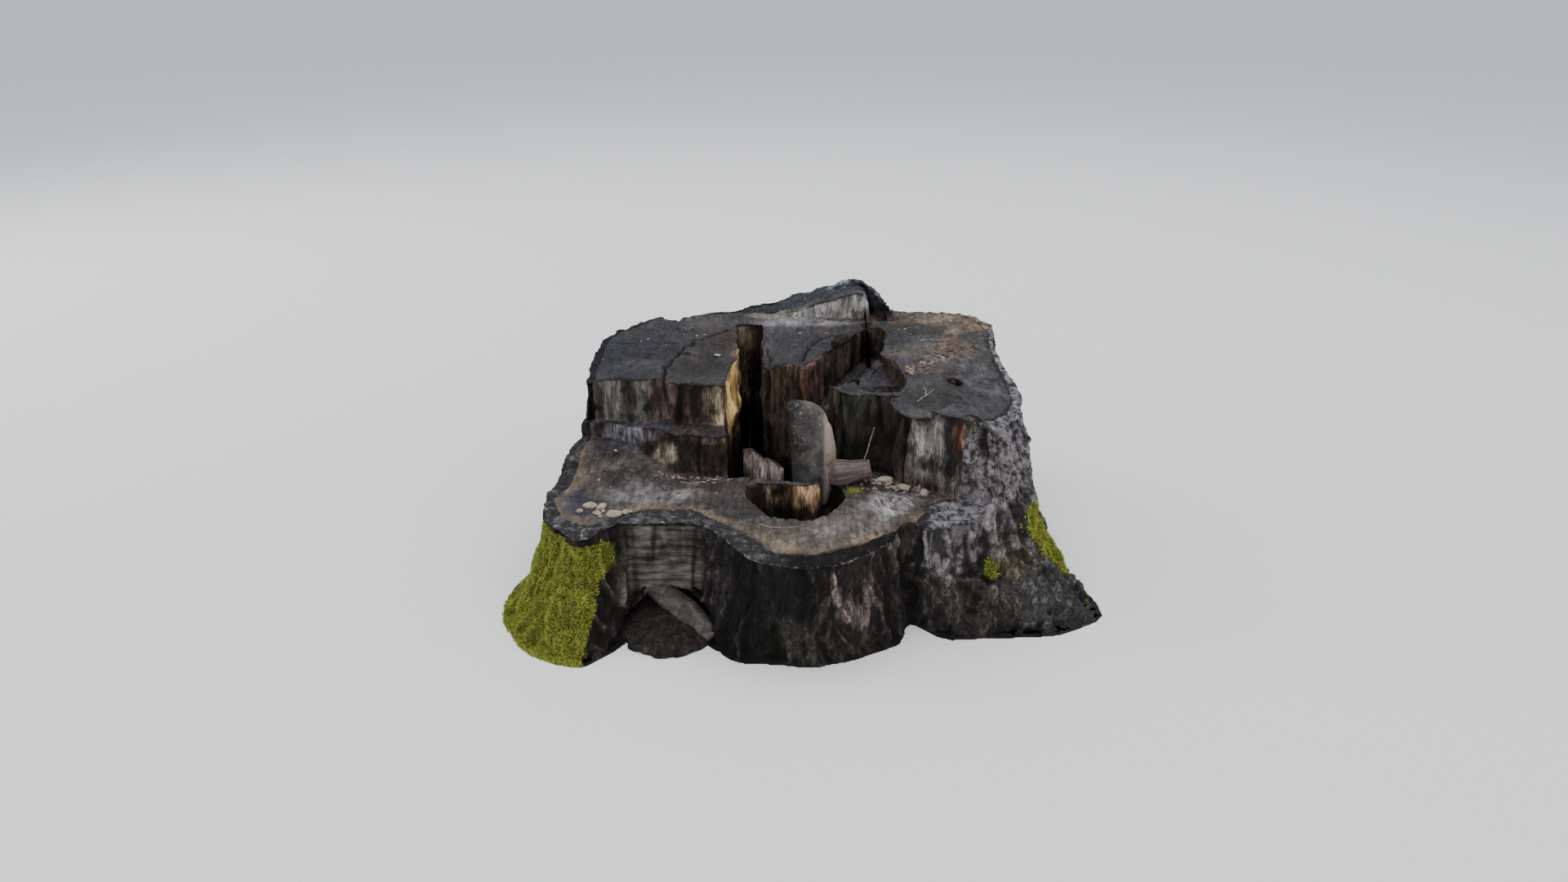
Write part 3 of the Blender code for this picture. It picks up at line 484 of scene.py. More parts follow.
terrace = 1 - is_high
sawn_colour = mixed(plain((0.058, 0.050, 0.046)), (0.036, 0.033, 0.036), is_high)
lay_colours(sawn_colour, is_level, SAWN_COLOURS, 96)
streak = (
    swell(fan, (0.018, 0.018, 0.006), 88) * ease(0.02, 0.10, x)
    + swell(np.c_[along, y * 0.2, z], (0.012, 0.03, 0.1), 89)
)
sawn_colour *= (1 + 0.30 * worn + 0.22 * lifted + 0.16 * streak - 0.24 * is_high * ease(-0.06, -0.10, x))[:, None]
rusty = (
    ease(0.15, 0.55, swell(fan, (0.022, 0.022, 0.005), 90) + 0.3 * worn)
    * ease(0.10, 0.16, x) * ease(0.02, 0.08, y) * is_high
)
rusty *= 1 - spot((x, 0.220, 0.060), (y, 0.165, 0.036))
sawn_colour = mixed(sawn_colour, (0.150, 0.078, 0.036), 0.45 * rusty)
near_bark = ease(-0.030, -0.003, edge + 0.010 * wander) * terrace
sawn_colour = mixed(sawn_colour, (0.140, 0.104, 0.070), 0.62 * near_bark * ease(-0.5, 0.2, wander))
torn_colour = plain((0.058, 0.044, 0.035))
lay_colours(torn_colour, is_torn, TORN_COLOURS, 97)
wall_streak = swell(skin + 0.002 * stray, (0.011, 0.011, 0.180), 111)
torn_colour *= (1 + 0.45 * wall_streak)[:, None] * (1 + 0.75 * np.clip(crumbled, -0.9, 0.9))[:, None]
warm_streak = ease(0.25, 0.65, swell(skin + 0.002 * stray, (0.016, 0.016, 0.160), 113))
torn_colour = mixed(torn_colour, (0.120, 0.070, 0.036), 0.35 * warm_streak * ease(0.20, 0.30, z))
in_leaf = (
    ease(-0.104, -0.100, y) * (1 - ease(-0.072, -0.066, y))
    * ease(-0.112, -0.106, x) * (1 - ease(0.0, 0.01, x)) * ease(0.10, 0.12, z)
)
in_leaf *= 1 - ease(0.200, 0.206, z)
# Painted shade low in the pit of torn wood, left out on the leaf
painted_pit_shade = ease(0.25, 0.12, z) * (1 - ease(-0.02, 0.02, -y - 0.135)) * is_torn * (1 - in_leaf)
torn_colour *= (1 - 0.65 * painted_pit_shade)[:, None]
torn_colour *= (1 + 0.25 * in_leaf)[:, None]
bright_corner = spot((x, -0.114, 0.018), (y, -0.010, 0.090)) * ease(0.20, 0.24, z)
torn_colour *= (
    1 - 0.24 * ease(0.19, 0.21, z) * (1 - in_block) * (1 - bright_corner) * (1 - ease(0.17, 0.19, x))
)[:, None]
# Painted shade deep in the hole, left off along upright bands
painted_hole_shade = is_torn * ease(-0.136, -0.144, y) * ease(-0.126, -0.116, x) * (1 - ease(0.080, 0.090, x))
band = ease(-0.30, 0.30, swell(skin + 0.004 * stray, (0.024, 0.024, 0.200), 115) - 0.5 * ease(0.02, 0.05, x) - 0.05)
torn_colour *= (1 - painted_hole_shade * (0.93 - 0.93 * band))[:, None]
bark_colour = plain((0.030, 0.026, 0.024))
lay_colours(bark_colour, is_bark, BARK_COLOURS, 98)
bark_colour *= (1 + 0.35 * crust + 0.30 * (small_ridge - 0.5))[:, None]
ring_colour = mixed(plain((0.024, 0.023, 0.025)), (0.085, 0.080, 0.086), ease(0.0, 0.5, crust))
ring_colour *= (1 - 0.82 * ease(-0.26, -0.34, y) * ease(-0.060, 0.0, x) + 0.5 * ease(-0.020, -0.080, x))[:, None]
ring_colour = ring_colour * terrace[:, None] + sawn_colour * (0.75 * is_high)[:, None]
notch_colour = mixed(plain((0.108, 0.097, 0.083)), (0.042, 0.036, 0.031), 0.65 * stroke)
notch_colour *= (1 + 0.35 * rough(skin, (0.040, 0.040, 0.007), 3, 99))[:, None]
colour = (
    sawn_colour * is_sawn[:, None] + torn_colour * (is_torn * (1 - in_notch))[:, None]
    + bark_colour * (is_flank * (1 - in_notch))[:, None] + ring_colour * is_ring[:, None]
    + notch_colour * in_notch[:, None]
)
# Painted shade in the cave under the notch
colour *= (1 - 0.80 * painted_cave_shade * (1 - in_notch))[:, None]

# Painted shade: darker in the bark's furrows and cross cracks, between the torn wood's flutes and splinters and in
# its hollows, in the ring's furrows, and in the splits and drying cracks of the sawn faces
sunk = np.clip(
    is_flank * (0.95 * (1 - ridge) ** 1.3 + 0.55 * (1 - small_ridge) + 0.6 * cross_crack)
    * (1 - in_shell) * (1 - 0.32 * on_right)
    + in_shell * 0.5 * (1 - small_ridge)
    + is_torn * (0.52 * (1 - flute) + 0.32 * (1 - splinter) + 0.5 * ease(0.1, 0.6, -crumbled) + 0.55 * wall_gap)
    * (1 - 0.6 * in_block) * (1 - 0.6 * in_leaf) * (1 - 0.8 * bright_corner)
    + is_ring * 0.5 * (1 - ribs(pulled, 0.016, 2, 79))
    + is_sawn * (0.8 * split + 0.35 * small_split)
    + 1.6 * check_depth / 0.012, 0, 1.3)
lichen = is_flank * (
    0.95 * ease(0.14, 0.19, x) * ease(0.06, 0.14 + 0.06 * ease(0.28, 0.36, x), z) * (1 - ease(-0.14, -0.06, y))
    * (1 - ease(0.40, 0.47, x)) + 0.20 + 0.15 * ease(0.10, 0.20, x)
)
lichen = np.clip(
    1.25 * lichen + (0.50 + 0.5 * wander) * broken_edge * is_bark * terrace
    + (0.45 + 0.50 * ease(0.18, 0.22, x)) * is_ring * ease(0.0, 0.008, edge), 0, 1
) * (1 - 0.6 * in_shell)
moss_left = (
    ease(-0.296, -0.322, x + 0.026 * wander + 0.008 * lump + 0.020 * ease(0.13, 0.03, z)) * ease(-0.245, -0.275, y)
    * (1 - ease(0.145, 0.160, z + 0.012 * wander))
)
moss_right = spot((x, 0.425, 0.05), (y, -0.215, 0.035)) * (1 - ease(0.15, 0.17, z)) * is_flank
moss_low = spot((x, 0.309, 0.013), (y, -0.301, 0.016), (z, 0.090, 0.020)) * ease(-0.7, 0.3, wander + crust)
moss_step = spot((x, 0.088, 0.013), (y, -0.180, 0.010), (z, 0.170, 0.012))
moss = np.clip(np.maximum.reduce([moss_left * is_flank, moss_right, moss_low, moss_step]), 0, 1)

for name, values in (
    ("level", is_level), ("bark", is_bark * (1 - in_notch)), ("torn", is_torn * (1 - in_notch)),
    ("edge", bark_start),
    ("sunk", sunk), ("lichen", lichen), ("moss", moss), ("notch", in_notch), ("high", is_high),
):
    keep_values(trunk.data, name, values)
keep_colours(trunk.data, "paint", np.clip(colour, 0.0015, 1))

# The level underside becomes one face
only(trunk)
corner_points = fetched(trunk.data.loops, "vertex_index", kind=np.int32)
first_corners = fetched(trunk.data.polygons, "loop_start", kind=np.int32)
bpy.ops.object.mode_set(mode="EDIT")
bpy.ops.mesh.select_all(action="DESELECT")
bpy.context.tool_settings.mesh_select_mode = (False, False, True)
bpy.ops.object.mode_set(mode="OBJECT")
on_ground = np.maximum.reduceat(carved[corner_points, 2], first_corners) < 1e-6
trunk.data.polygons.foreach_set("select", on_ground)
bpy.ops.object.mode_set(mode="EDIT")
bpy.ops.mesh.delete(type="FACE")
bpy.context.tool_settings.mesh_select_mode = (False, True, False)
bpy.ops.mesh.select_all(action="DESELECT")
bpy.ops.mesh.select_non_manifold(
    extend=False, use_wire=False, use_multi_face=False, use_non_contiguous=False, use_verts=False
)
bpy.ops.mesh.edge_face_add()
bpy.ops.object.mode_set(mode="OBJECT")
bpy.ops.object.shade_smooth()


def put(tree, kind, inputs=None, **settings):
    """Adds a shader node. Inputs are numbers, colours or the outputs of other nodes."""
    made = tree.nodes.new("ShaderNode" + kind)
    for key, value in settings.items():
        setattr(made, key, value)
    for key, value in (inputs or {}).items():
        if isinstance(value, bpy.types.NodeSocket):
            tree.links.new(value, made.inputs[key])
        else:
            made.inputs[key].default_value = value
    return made


def maths(tree, operation, *values):
    return put(tree, "Math", dict(enumerate(values)), operation=operation).outputs[0]


def vectors(tree, operation, *values):
    return put(tree, "VectorMath", dict(enumerate(values)), operation=operation).outputs[0]


def product(tree, first, *others):
    """All the values multiplied together."""
    for value in others:
        first = maths(tree, "MULTIPLY", first, value)
    return first


def off_middle(tree, value):
    """How far a noise is from its middle value, which it crosses along thin lines."""
    return maths(tree, "ABSOLUTE", maths(tree, "SUBTRACT", value, 0.5))


def between(tree, value, low, high, to_low=0.0, to_high=1.0):
    """Goes smoothly from to_low to to_high as the value goes from low to high."""
    ends = {0: value, 1: low, 2: high, 3: to_low, 4: to_high}
    return put(tree, "MapRange", ends, interpolation_type="SMOOTHSTEP").outputs[0]


def blended(tree, share, under, over):
    """Colour over laid on colour under."""
    return put(tree, "Mix", {0: share, 6: under, 7: over}, data_type="RGBA", blend_type="MIX").outputs[2]


def own_place(tree):
    """Where a point is, in the piece's own measures."""
    return put(tree, "TexCoord").outputs["Object"]


def noise(tree, place, scale, detail, roughness=0.5, distortion=0.0):
    """Cloudy noise about 0.5."""
    settings = {
        "Vector": place, "Scale": scale, "Detail": detail, "Roughness": roughness, "Distortion": distortion,
    }
    return put(tree, "TexNoise", settings).outputs[0]


def new_group(name, inputs, outputs):
    """A shared effect: inputs by name with a first value, outputs by name, all of them numbers."""
    group = bpy.data.node_groups.new(name, "ShaderNodeTree")
    for label, value in inputs.items():
        group.interface.new_socket(label, in_out="INPUT", socket_type="NodeSocketFloat").default_value = value
    for label in outputs:
        group.interface.new_socket(label, in_out="OUTPUT", socket_type="NodeSocketFloat")
    return group, group.nodes.new("NodeGroupInput").outputs, group.nodes.new("NodeGroupOutput")


def give(given, **values):
    """Sets what a shared effect gives out."""
    for label, value in values.items():
        given.id_data.links.new(value, given.inputs[label])


def place_group(tree, name, inputs):
    """Puts a shared effect into a material, and returns its outputs."""
    return put(tree, "Group", inputs, node_tree=bpy.data.node_groups[name]).outputs


# Upright fibres of torn wood: fine streaks that run along Z, paler on their crests
tree, taken, given = new_group("torn fibres", {"Fineness": 90.0, "Length": 0.07}, ("Streak", "Height"))
squeeze = put(tree, "CombineXYZ", {0: 1.0, 1: 1.0, 2: taken["Length"]}).outputs[0]
drawn_out = vectors(tree, "MULTIPLY", own_place(tree), squeeze)
coarse = noise(tree, drawn_out, taken["Fineness"], 5.0, 0.6, 0.2)
fine = noise(tree, drawn_out, product(tree, taken["Fineness"], 4.0), 3.0, 0.65)
streak = maths(tree, "ADD", product(tree, coarse, 0.65), product(tree, fine, 0.35))
give(given, Streak=between(tree, streak, 0.34, 0.66), Height=streak)

# End grain: rays and splits that fan out from the pith, yearly rings, and the scores that the saw left
tree, taken, given = new_group(
    "sawn end grain", {"From bark": 0.0, "Ring width": 0.0042}, ("Ring", "Ray", "Split", "Height")
)
place = own_place(tree)
waver = noise(tree, place, 14.0, 4.0)
shifted = maths(tree, "ADD", taken["From bark"], product(tree, waver, 0.012))
turns = product(tree, maths(tree, "DIVIDE", shifted, taken["Ring width"]), FULL_TURN)
ring = maths(tree, "MULTIPLY_ADD", maths(tree, "SINE", turns), 0.5, 0.5)
ring = product(tree, maths(tree, "POWER", ring, 3.0), between(tree, waver, 0.35, 0.65))
from_middle = vectors(tree, "SUBTRACT", vectors(tree, "MULTIPLY", place, (1.0, 1.0, 0.0)), (*PITH, 0.0))
radius = put(tree, "VectorMath", {0: from_middle}, operation="LENGTH").outputs["Value"]
rise = put(tree, "CombineXYZ", {2: product(tree, radius, 0.55)}).outputs[0]
fanned = vectors(tree, "MULTIPLY_ADD", vectors(tree, "NORMALIZE", from_middle), (0.30, 0.30, 0.30), rise)
ray = noise(tree, fanned, 150.0, 5.0, 0.66, 0.3)
split_line = between(tree, off_middle(tree, noise(tree, fanned, 52.0, 3.0, 0.5, 0.5)), 0.004, 0.020, 1.0, 0.0)
split_line = product(tree, split_line, between(tree, waver, 0.44, 0.60))
turned = put(tree, "Mapping", {"Vector": place, "Rotation": (0, 0, 0.62), "Scale": (1.0, 0.16, 1.0)}).outputs[0]
pores = noise(tree, place, 520.0, 3.0, 0.65)
fine = maths(tree, "MULTIPLY_ADD", pores, 0.30, product(tree, ray, 0.35))
fine = maths(tree, "MULTIPLY_ADD", noise(tree, turned, 150.0, 4.0, 0.62), 0.35, fine)
height = maths(tree, "SUBTRACT", fine, product(tree, split_line, 0.30))
height = maths(tree, "SUBTRACT", height, product(tree, ring, 0.10))
give(given, Ring=ring, Ray=fine, Split=split_line, Height=height)

# Bark crust: small flakes with dark gaps between them, longer upright than across
tree, taken, given = new_group("bark crust", {"Fineness": 120.0}, ("Flake", "Gap", "Height"))
place = own_place(tree)
squashed = put(tree, "Mapping", {"Vector": place, "Scale": (1.0, 1.0, 0.42)}).outputs[0]
warp = put(tree, "TexNoise", {"Vector": squashed, "Scale": 60.0, "Detail": 4.0}).outputs["Color"]
warped = vectors(tree, "MULTIPLY_ADD", warp, (0.022, 0.022, 0.022), squashed)
flakes = noise(tree, warped, taken["Fineness"], 5.0, 0.62)
fissure = off_middle(tree, flakes)
grit = product(tree, noise(tree, place, 420.0, 4.0, 0.7), 0.5)
give(
    given,
    Flake=maths(tree, "MULTIPLY_ADD", flakes, 0.5, grit),
    Gap=between(tree, fissure, 0.008, 0.045, 1.0, 0.0),
    Height=maths(tree, "ADD", product(tree, between(tree, fissure, 0.0, 0.10), 0.6), grit),
)

# Mottling by damp, dust and rot: large soft patches with small spots in them
tree, taken, given = new_group("damp mottling", {"Size": 26.0}, ("Patch", "Spot"))
place = own_place(tree)
patch = noise(tree, place, taken["Size"], 9.0, 0.70, 0.4)
spots = noise(tree, place, product(tree, taken["Size"], 7.0), 3.0, 0.6)
give(given, Patch=between(tree, patch, 0.34, 0.66), Spot=between(tree, spots, 0.60, 0.70))

# Lichen: pale dry crust in ragged spots, thickest where the mask is full
tree, taken, given = new_group("lichen spots", {"Amount": 0.5}, ("Cover",))
limit = between(tree, taken["Amount"], 0.0, 1.0, 0.76, 0.455)
above = maths(tree, "SUBTRACT", noise(tree, own_place(tree), 75.0, 9.0, 0.80), limit)
give(given, Cover=between(tree, above, -0.03, 0.12))

# How strongly every surface reflects: all of them are matt
GLOSS = 0.2


def read(tree, name, output="Fac"):
    """A value or colour that is stored on the mesh by name."""
    return put(tree, "Attribute", attribute_name=name).outputs[output]


def new_material(name, roughness=0.8):
    """A matt material, its node tree and its shader."""
    made = bpy.data.materials.new(name)
    made.use_nodes = True
    shader = made.node_tree.nodes["Principled BSDF"]
    shader.inputs["Roughness"].default_value = roughness
    shader.inputs["Specular IOR Level"].default_value = GLOSS
    return made, made.node_tree, shader


def toned(tree, share, colour, tone):
    """Makes the colour darker or lighter by tone, as fully as share says."""
    changed = put(tree, "VectorMath", {0: colour, "Scale": tone}, operation="SCALE").outputs[0]
    return changed if share is None else blended(tree, share, colour, changed)


def stained(tree, colour, *stains):
    """Lays stains over the colour in turn, each with its share."""
    for share, stain in stains:
        colour = blended(tree, share, colour, (*stain, 1))
    return colour


def dress(tree, shader, colour, strength=0.0, depth=0.0, height=None):
    """Gives a shader its colour, and fine relief that is too small to model."""
    tree.links.new(colour, shader.inputs["Base Color"])
    if height is not None:
        bump = put(tree, "Bump", {"Strength": strength, "Distance": depth, "Height": height})
        tree.links.new(bump.outputs[0], shader.inputs["Normal"])


trunk_material, tree, shader = new_material("weathered_trunk")
level, bark, torn, edge_value, painted_crevice_shade_value = (read(tree, n) for n in ("level", "bark", "torn", "edge", "sunk"))
lichen_value, moss_value, notch_value, high_value = (read(tree, n) for n in ("lichen", "moss", "notch", "high"))
fibres = place_group(tree, "torn fibres", {"Fineness": 105.0, "Length": 0.15})
grain = place_group(tree, "sawn end grain", {"From bark": edge_value})
crusts = place_group(tree, "bark crust", {"Fineness": 95.0})
mottle = place_group(tree, "damp mottling", {"Size": 24.0})
lichens = place_group(tree, "lichen spots", {"Amount": lichen_value})
sawn_share = product(tree, level, maths(tree, "SUBTRACT", 1.0, bark))
# patches, rays, splits and spots on the sawn faces
patch_tone = between(tree, mottle["Patch"], 0.0, 1.0, 0.66, 1.40)
ray_tone = between(tree, grain["Ray"], 0.38, 0.62, 0.46, 1.70)
base = toned(tree, sawn_share, read(tree, "paint", "Color"), product(tree, patch_tone, ray_tone))
base = stained(
    tree, base,
    (product(tree, grain["Ring"], sawn_share, 0.22), (0.012, 0.009, 0.008)),
    (product(tree, grain["Split"], sawn_share, 0.75), (0.006, 0.005, 0.005)),
    (product(tree, mottle["Spot"], sawn_share, 0.22), (0.150, 0.136, 0.122)),
)
# streaks down the torn walls and along the saw's strokes in the notch, and flakes of bark
base = toned(tree, torn, base, between(tree, fibres["Streak"], 0.0, 1.0, 0.36, 1.85))
flat_place = put(tree, "Mapping", {"Vector": own_place(tree), "Scale": (0.14, 0.14, 1.0)}).outputs[0]
stroke_noise = noise(tree, flat_place, 210.0, 4.0, 0.65)
base = toned(tree, notch_value, base, between(tree, stroke_noise, 0.34, 0.66, 0.45, 1.65))
base = toned(tree, bark, base, between(tree, crusts["Flake"], 0.34, 0.64, 0.42, 2.0))
# dark gaps between the flakes, the thin broken orange line where wood meets bark on the low step,
# then painted shade in the furrows and cracks, and lichen and moss over all
line = between(tree, maths(tree, "ABSOLUTE", maths(tree, "ADD", edge_value, 0.0012)), 0.0004, 0.0018, 1.0, 0.0)
line = product(tree, line, level, maths(tree, "SUBTRACT", 1.0, high_value))
line = product(tree, line, between(tree, mottle["Patch"], 0.35, 0.75, 0.05, 0.55))
lichen_share = product(tree, lichens["Cover"], between(tree, painted_crevice_shade_value, 0.35, 1.0, 0.85, 0.05))
moss_share = between(tree, maths(tree, "ADD", moss_value, product(tree, mottle["Patch"], 0.25)), 0.40, 0.70)
base = stained(
    tree, base,
    (product(tree, crusts["Gap"], bark, 0.72), (0.004, 0.0035, 0.003)),
    (line, (0.230, 0.125, 0.060)),
    (between(tree, painted_crevice_shade_value, 0.32, 1.15, 0.0, 0.90), (0.006, 0.005, 0.004)),
    (product(tree, lichen_share, between(tree, lichen_value, 0.02, 0.15)), (0.340, 0.318, 0.335)),
    (product(tree, moss_share, 0.92), (0.085, 0.090, 0.014)),
)
rough_value = between(tree, mottle["Patch"], 0.0, 1.0, 0.52, 0.76)
rough_value = put(tree, "Mix", {0: sawn_share, 2: 0.84, 3: rough_value}, data_type="FLOAT").outputs[0]
tree.links.new(rough_value, shader.inputs["Roughness"])
height = product(tree, fibres["Height"], product(tree, torn, 1.4))
for part_height, share in (
    (grain["Height"], product(tree, sawn_share, 1.3)), (crusts["Height"], bark), (stroke_noise, notch_value),
):
    height = maths(tree, "ADD", height, product(tree, part_height, share))
dress(tree, shader, base, 1.0, 0.0026, height)
coat(trunk, trunk_material)

trunk_points = points_of(trunk.data)
trunk_places = KDTree(len(trunk_points))
for number, point in enumerate(trunk_points.tolist()):
    trunk_places.insert(point, number)
trunk_places.balance()
trunk.data.calc_loop_triangles()
trunk_faces = fetched(trunk.data.loop_triangles, "vertices", 3, np.int32)
moss_at_points = fetched(trunk.data.attributes["moss"].data, "value")

# The trunk is carried by four pieces that meet inside it: a point on each cut, and the way that is cut off
BACK_OF_STEP, LEFT_CUT, RIGHT_CUT = (0, -0.130, 0), (-0.090, 0, 0), (0.130, 0, 0)
CUT_FACE_CORNERS = 60
TRUNK_PARTS = {
    "front_step": [(BACK_OF_STEP, (0, 1, 0))],
    "left_block": [(BACK_OF_STEP, (0, -1, 0)), (LEFT_CUT, (1, 0, 0))],
    "middle_block": [(BACK_OF_STEP, (0, -1, 0)), (LEFT_CUT, (-1, 0, 0)), (RIGHT_CUT, (1, 0, 0))],
    "right_block": [(BACK_OF_STEP, (0, -1, 0)), (RIGHT_CUT, (-1, 0, 0))],
}
for name, cuts in TRUNK_PARTS.items():
    only(trunk)
    bpy.ops.object.duplicate()
    part = bpy.context.active_object
    part.name = part.data.name = name
    bpy.ops.object.mode_set(mode="EDIT")
    for cut_place, cut_way in cuts:
        bpy.ops.mesh.select_all(action="SELECT")
        bpy.ops.mesh.bisect(plane_co=cut_place, plane_no=cut_way, use_fill=False, clear_outer=True)
        bpy.ops.mesh.select_all(action="SELECT")
        bpy.ops.mesh.fill_holes(sides=0)
    bpy.ops.object.mode_set(mode="OBJECT")
    part_points = points_of(part.data)
    on_cut = np.zeros(len(part_points), bool)
    for cut_place, cut_way in cuts:
        axis = 0 if cut_way[0] else 1
        on_cut |= np.abs(part_points[:, axis] - cut_place[axis]) < 1e-5
    for number in np.flatnonzero(on_cut):
        nearest = trunk_places.find(part_points[number])[1]
        for layer in part.data.attributes:
            if (
                layer.domain == "POINT" and layer.data_type in ("FLOAT", "FLOAT_COLOR")
                and layer.name in trunk.data.attributes
            ):
                key = "value" if layer.data_type == "FLOAT" else "color"
                setattr(
                    layer.data[int(number)], key, getattr(trunk.data.attributes[layer.name].data[nearest], key)
                )
    for face in part.data.polygons:
        if len(face.vertices) > CUT_FACE_CORNERS:
            face.use_smooth = False
    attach(part, "root")
    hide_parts("stump")
bpy.data.objects.remove(trunk)

# ---------------------------------------------------------------- the stone
# A grey field stone, flat, rounded by wear and finely pitted. It is loose: it was stood on end in the
# hollow and leans on the right block.
stone = carving_blank("upright_stone", "worn_stone", grain=0.0022)
modify(stone, "SMOOTH", factor=0.6, iterations=14)
stone_skin, stone_facing = points_of(stone.data), normals_of(stone.data)
pits = rough(stone_skin, 0.016, 4, 201)
stone_relief = 0.0009 * pits + 0.0012 * swell(stone_skin, 0.05, 205)
stone_relief -= 0.0014 * ease(0.25, 0.6, rough(stone_skin, (0.008, 0.008, 0.011), 2, 207))
stone_skin = stone_skin + stone_facing * stone_relief[:, None]
stone_foot, stone_top = stone_skin[:, 2].min(), stone_skin[:, 2].max()
up_stone = (stone_skin[:, 2] - stone_foot) / (stone_top - stone_foot)
stone_skin[:, 0] = (
    0.008 + (stone_skin[:, 0] - 0.008) * (1 + 0.70 * np.clip((up_stone - 0.80) / 0.20, 0, 1) ** 2)
)
move_points(stone.data, stone_skin)
keep_values(stone.data, "hollow", ease(-0.2, 0.6, -pits))
only(stone)
bpy.ops.object.shade_smooth()
stone_material, tree, shader = new_material("field_stone")
mottle = place_group(tree, "damp mottling", {"Size": 34.0})
place = own_place(tree)
sideways = put(tree, "SeparateXYZ", {0: place}).outputs[0]
side = between(tree, sideways, 0.036, 0.044)
grit = noise(tree, place, 480.0, 4.0, 0.7)
base = blended(tree, mottle["Patch"], (0.038, 0.036, 0.036, 1), (0.125, 0.117, 0.108, 1))
base = stained(
    tree, toned(tree, None, base, between(tree, sideways, -0.024, 0.036, 0.34, 1.30)),
    (product(tree, side, 0.80), (0.460, 0.370, 0.290)),
    (product(tree, mottle["Spot"], 0.5), (0.420, 0.400, 0.370)),
    (between(tree, grit, 0.55, 0.75, 0.0, 0.35), (0.080, 0.075, 0.070)),
    (product(tree, read(tree, "hollow"), 0.35), (0.090, 0.078, 0.066)),
)
tree.links.new(between(tree, grit, 0.2, 0.8, 0.72, 0.90), shader.inputs["Roughness"])
dress(tree, shader, base, 0.7, 0.0010, grit)
coat(stone, stone_material)
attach(stone, "root")
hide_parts("upright_stone")

# ---------------------------------------------------------------- the billet
# A short broken length of branch, pinkish grey and furrowed along its grain where the bark came off.
# It is loose, and lies on the front step against the stone.
billet = carving_blank("billet", "broken_billet", grain=0.0014)
modify(billet, "SMOOTH", factor=0.5, iterations=6)
billet_skin, billet_facing = points_of(billet.data), normals_of(billet.data)
billet_line = np.array((0.986, 0.08, 0.146), np.float32)
lengthwise = billet_skin @ billet_line
across = billet_skin - lengthwise[:, None] * billet_line
grooves = ribs(np.c_[across[:, 1], across[:, 2], lengthwise], (0.007, 0.007, 0.070), 2, 221)
is_end = ease(0.6, 0.85, np.abs(billet_facing @ billet_line))
billet_skin = billet_skin + billet_facing * (
    -0.0014 * (1 - grooves) * (1 - is_end) - 0.0012 * is_end * ribs(billet_skin, 0.01, 2, 223)
)[:, None]
move_points(billet.data, billet_skin)
keep_values(billet.data, "hollow", (1 - grooves) * (1 - is_end))
keep_values(billet.data, "cut", is_end)
only(billet)
bpy.ops.object.shade_smooth()
billet_material, tree, shader = new_material("bare_branch", 0.74)
mottle = place_group(tree, "damp mottling", {"Size": 60.0})
place = own_place(tree)
turned = put(
    tree, "Mapping", {"Vector": place, "Rotation": (0, 0.148, -0.08), "Scale": (0.10, 1.0, 1.0)}
).outputs[0]
grain_lines = noise(tree, turned, 420.0, 4.0, 0.6)
# Painted shade in the grooves along the grain
base = stained(
    tree, blended(tree, mottle["Patch"], (0.105, 0.078, 0.075, 1), (0.172, 0.134, 0.128, 1)),
    (between(tree, grain_lines, 0.50, 0.72, 0.0, 0.6), (0.085, 0.060, 0.056)),
    (product(tree, read(tree, "cut"), 0.8), (0.400, 0.335, 0.290)),
    (product(tree, read(tree, "hollow"), 0.7), (0.050, 0.034, 0.030)),
)
dress(tree, shader, base, 0.7, 0.0010, grain_lines)
coat(billet, billet_material)
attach(billet, "root")
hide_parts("billet")

# ---------------------------------------------------------------- chips, crumbs and twigs
# Cream chips that the saw threw out, crumbs and pale flakes of rotten wood, and a few thin dead twigs.
# All of them are loose and lie where they fell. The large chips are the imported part's own solids.
chip_material, tree, shader = new_material("dry_chips", 0.82)
mottle = place_group(tree, "damp mottling", {"Size": 150.0})
fibres = place_group(tree, "torn fibres", {"Fineness": 260.0, "Length": 0.5})
base = blended(tree, mottle["Patch"], (0.270, 0.220, 0.165, 1), (0.520, 0.460, 0.370, 1))
base = blended(tree, between(tree, fibres["Streak"], 0.0, 1.0, 0.45, 0.0), base, (0.120, 0.085, 0.060, 1))
dress(tree, shader, base, 0.6, 0.0008, fibres["Height"])
for name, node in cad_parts.items():
    if name.startswith("chip_"):
        coat(node, chip_material)

trunk_tree = BVHTree.FromPolygons(trunk_points.tolist(), trunk_faces.tolist())


def ground_under(px, py, start=0.60):
    """Where a plumb line dropped at px, py first touches the trunk, and the way the surface faces."""
    hit, normal, _, _ = trunk_tree.ray_cast(Vector((px, py, start)), Vector((0, 0, -1)))
    return hit, normal


def gather(name, vertices, faces, material):
    """One piece made of many small loose forms."""
    mesh = bpy.data.meshes.new(name)
    mesh.from_pydata([tuple(v) for v in vertices], [], faces)
    mesh.update()
    piece = bpy.data.objects.new(name, mesh)
    bpy.context.scene.collection.objects.link(piece)
    coat(piece, material)
    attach(piece, "root")
    return piece


# One crumb, modelled once: a small cornered splinter of wood
bpy.ops.object.select_all(action="DESELECT")
bpy.ops.mesh.primitive_ico_sphere_add(subdivisions=1, radius=0.5, location=(0, 0, 0))
crumb = bpy.context.active_object
crumb_points = points_of(crumb.data)
crumb_faces = [tuple(face.vertices) for face in crumb.data.polygons]
bpy.data.objects.remove(crumb)
crumb_rng = np.random.default_rng(11)


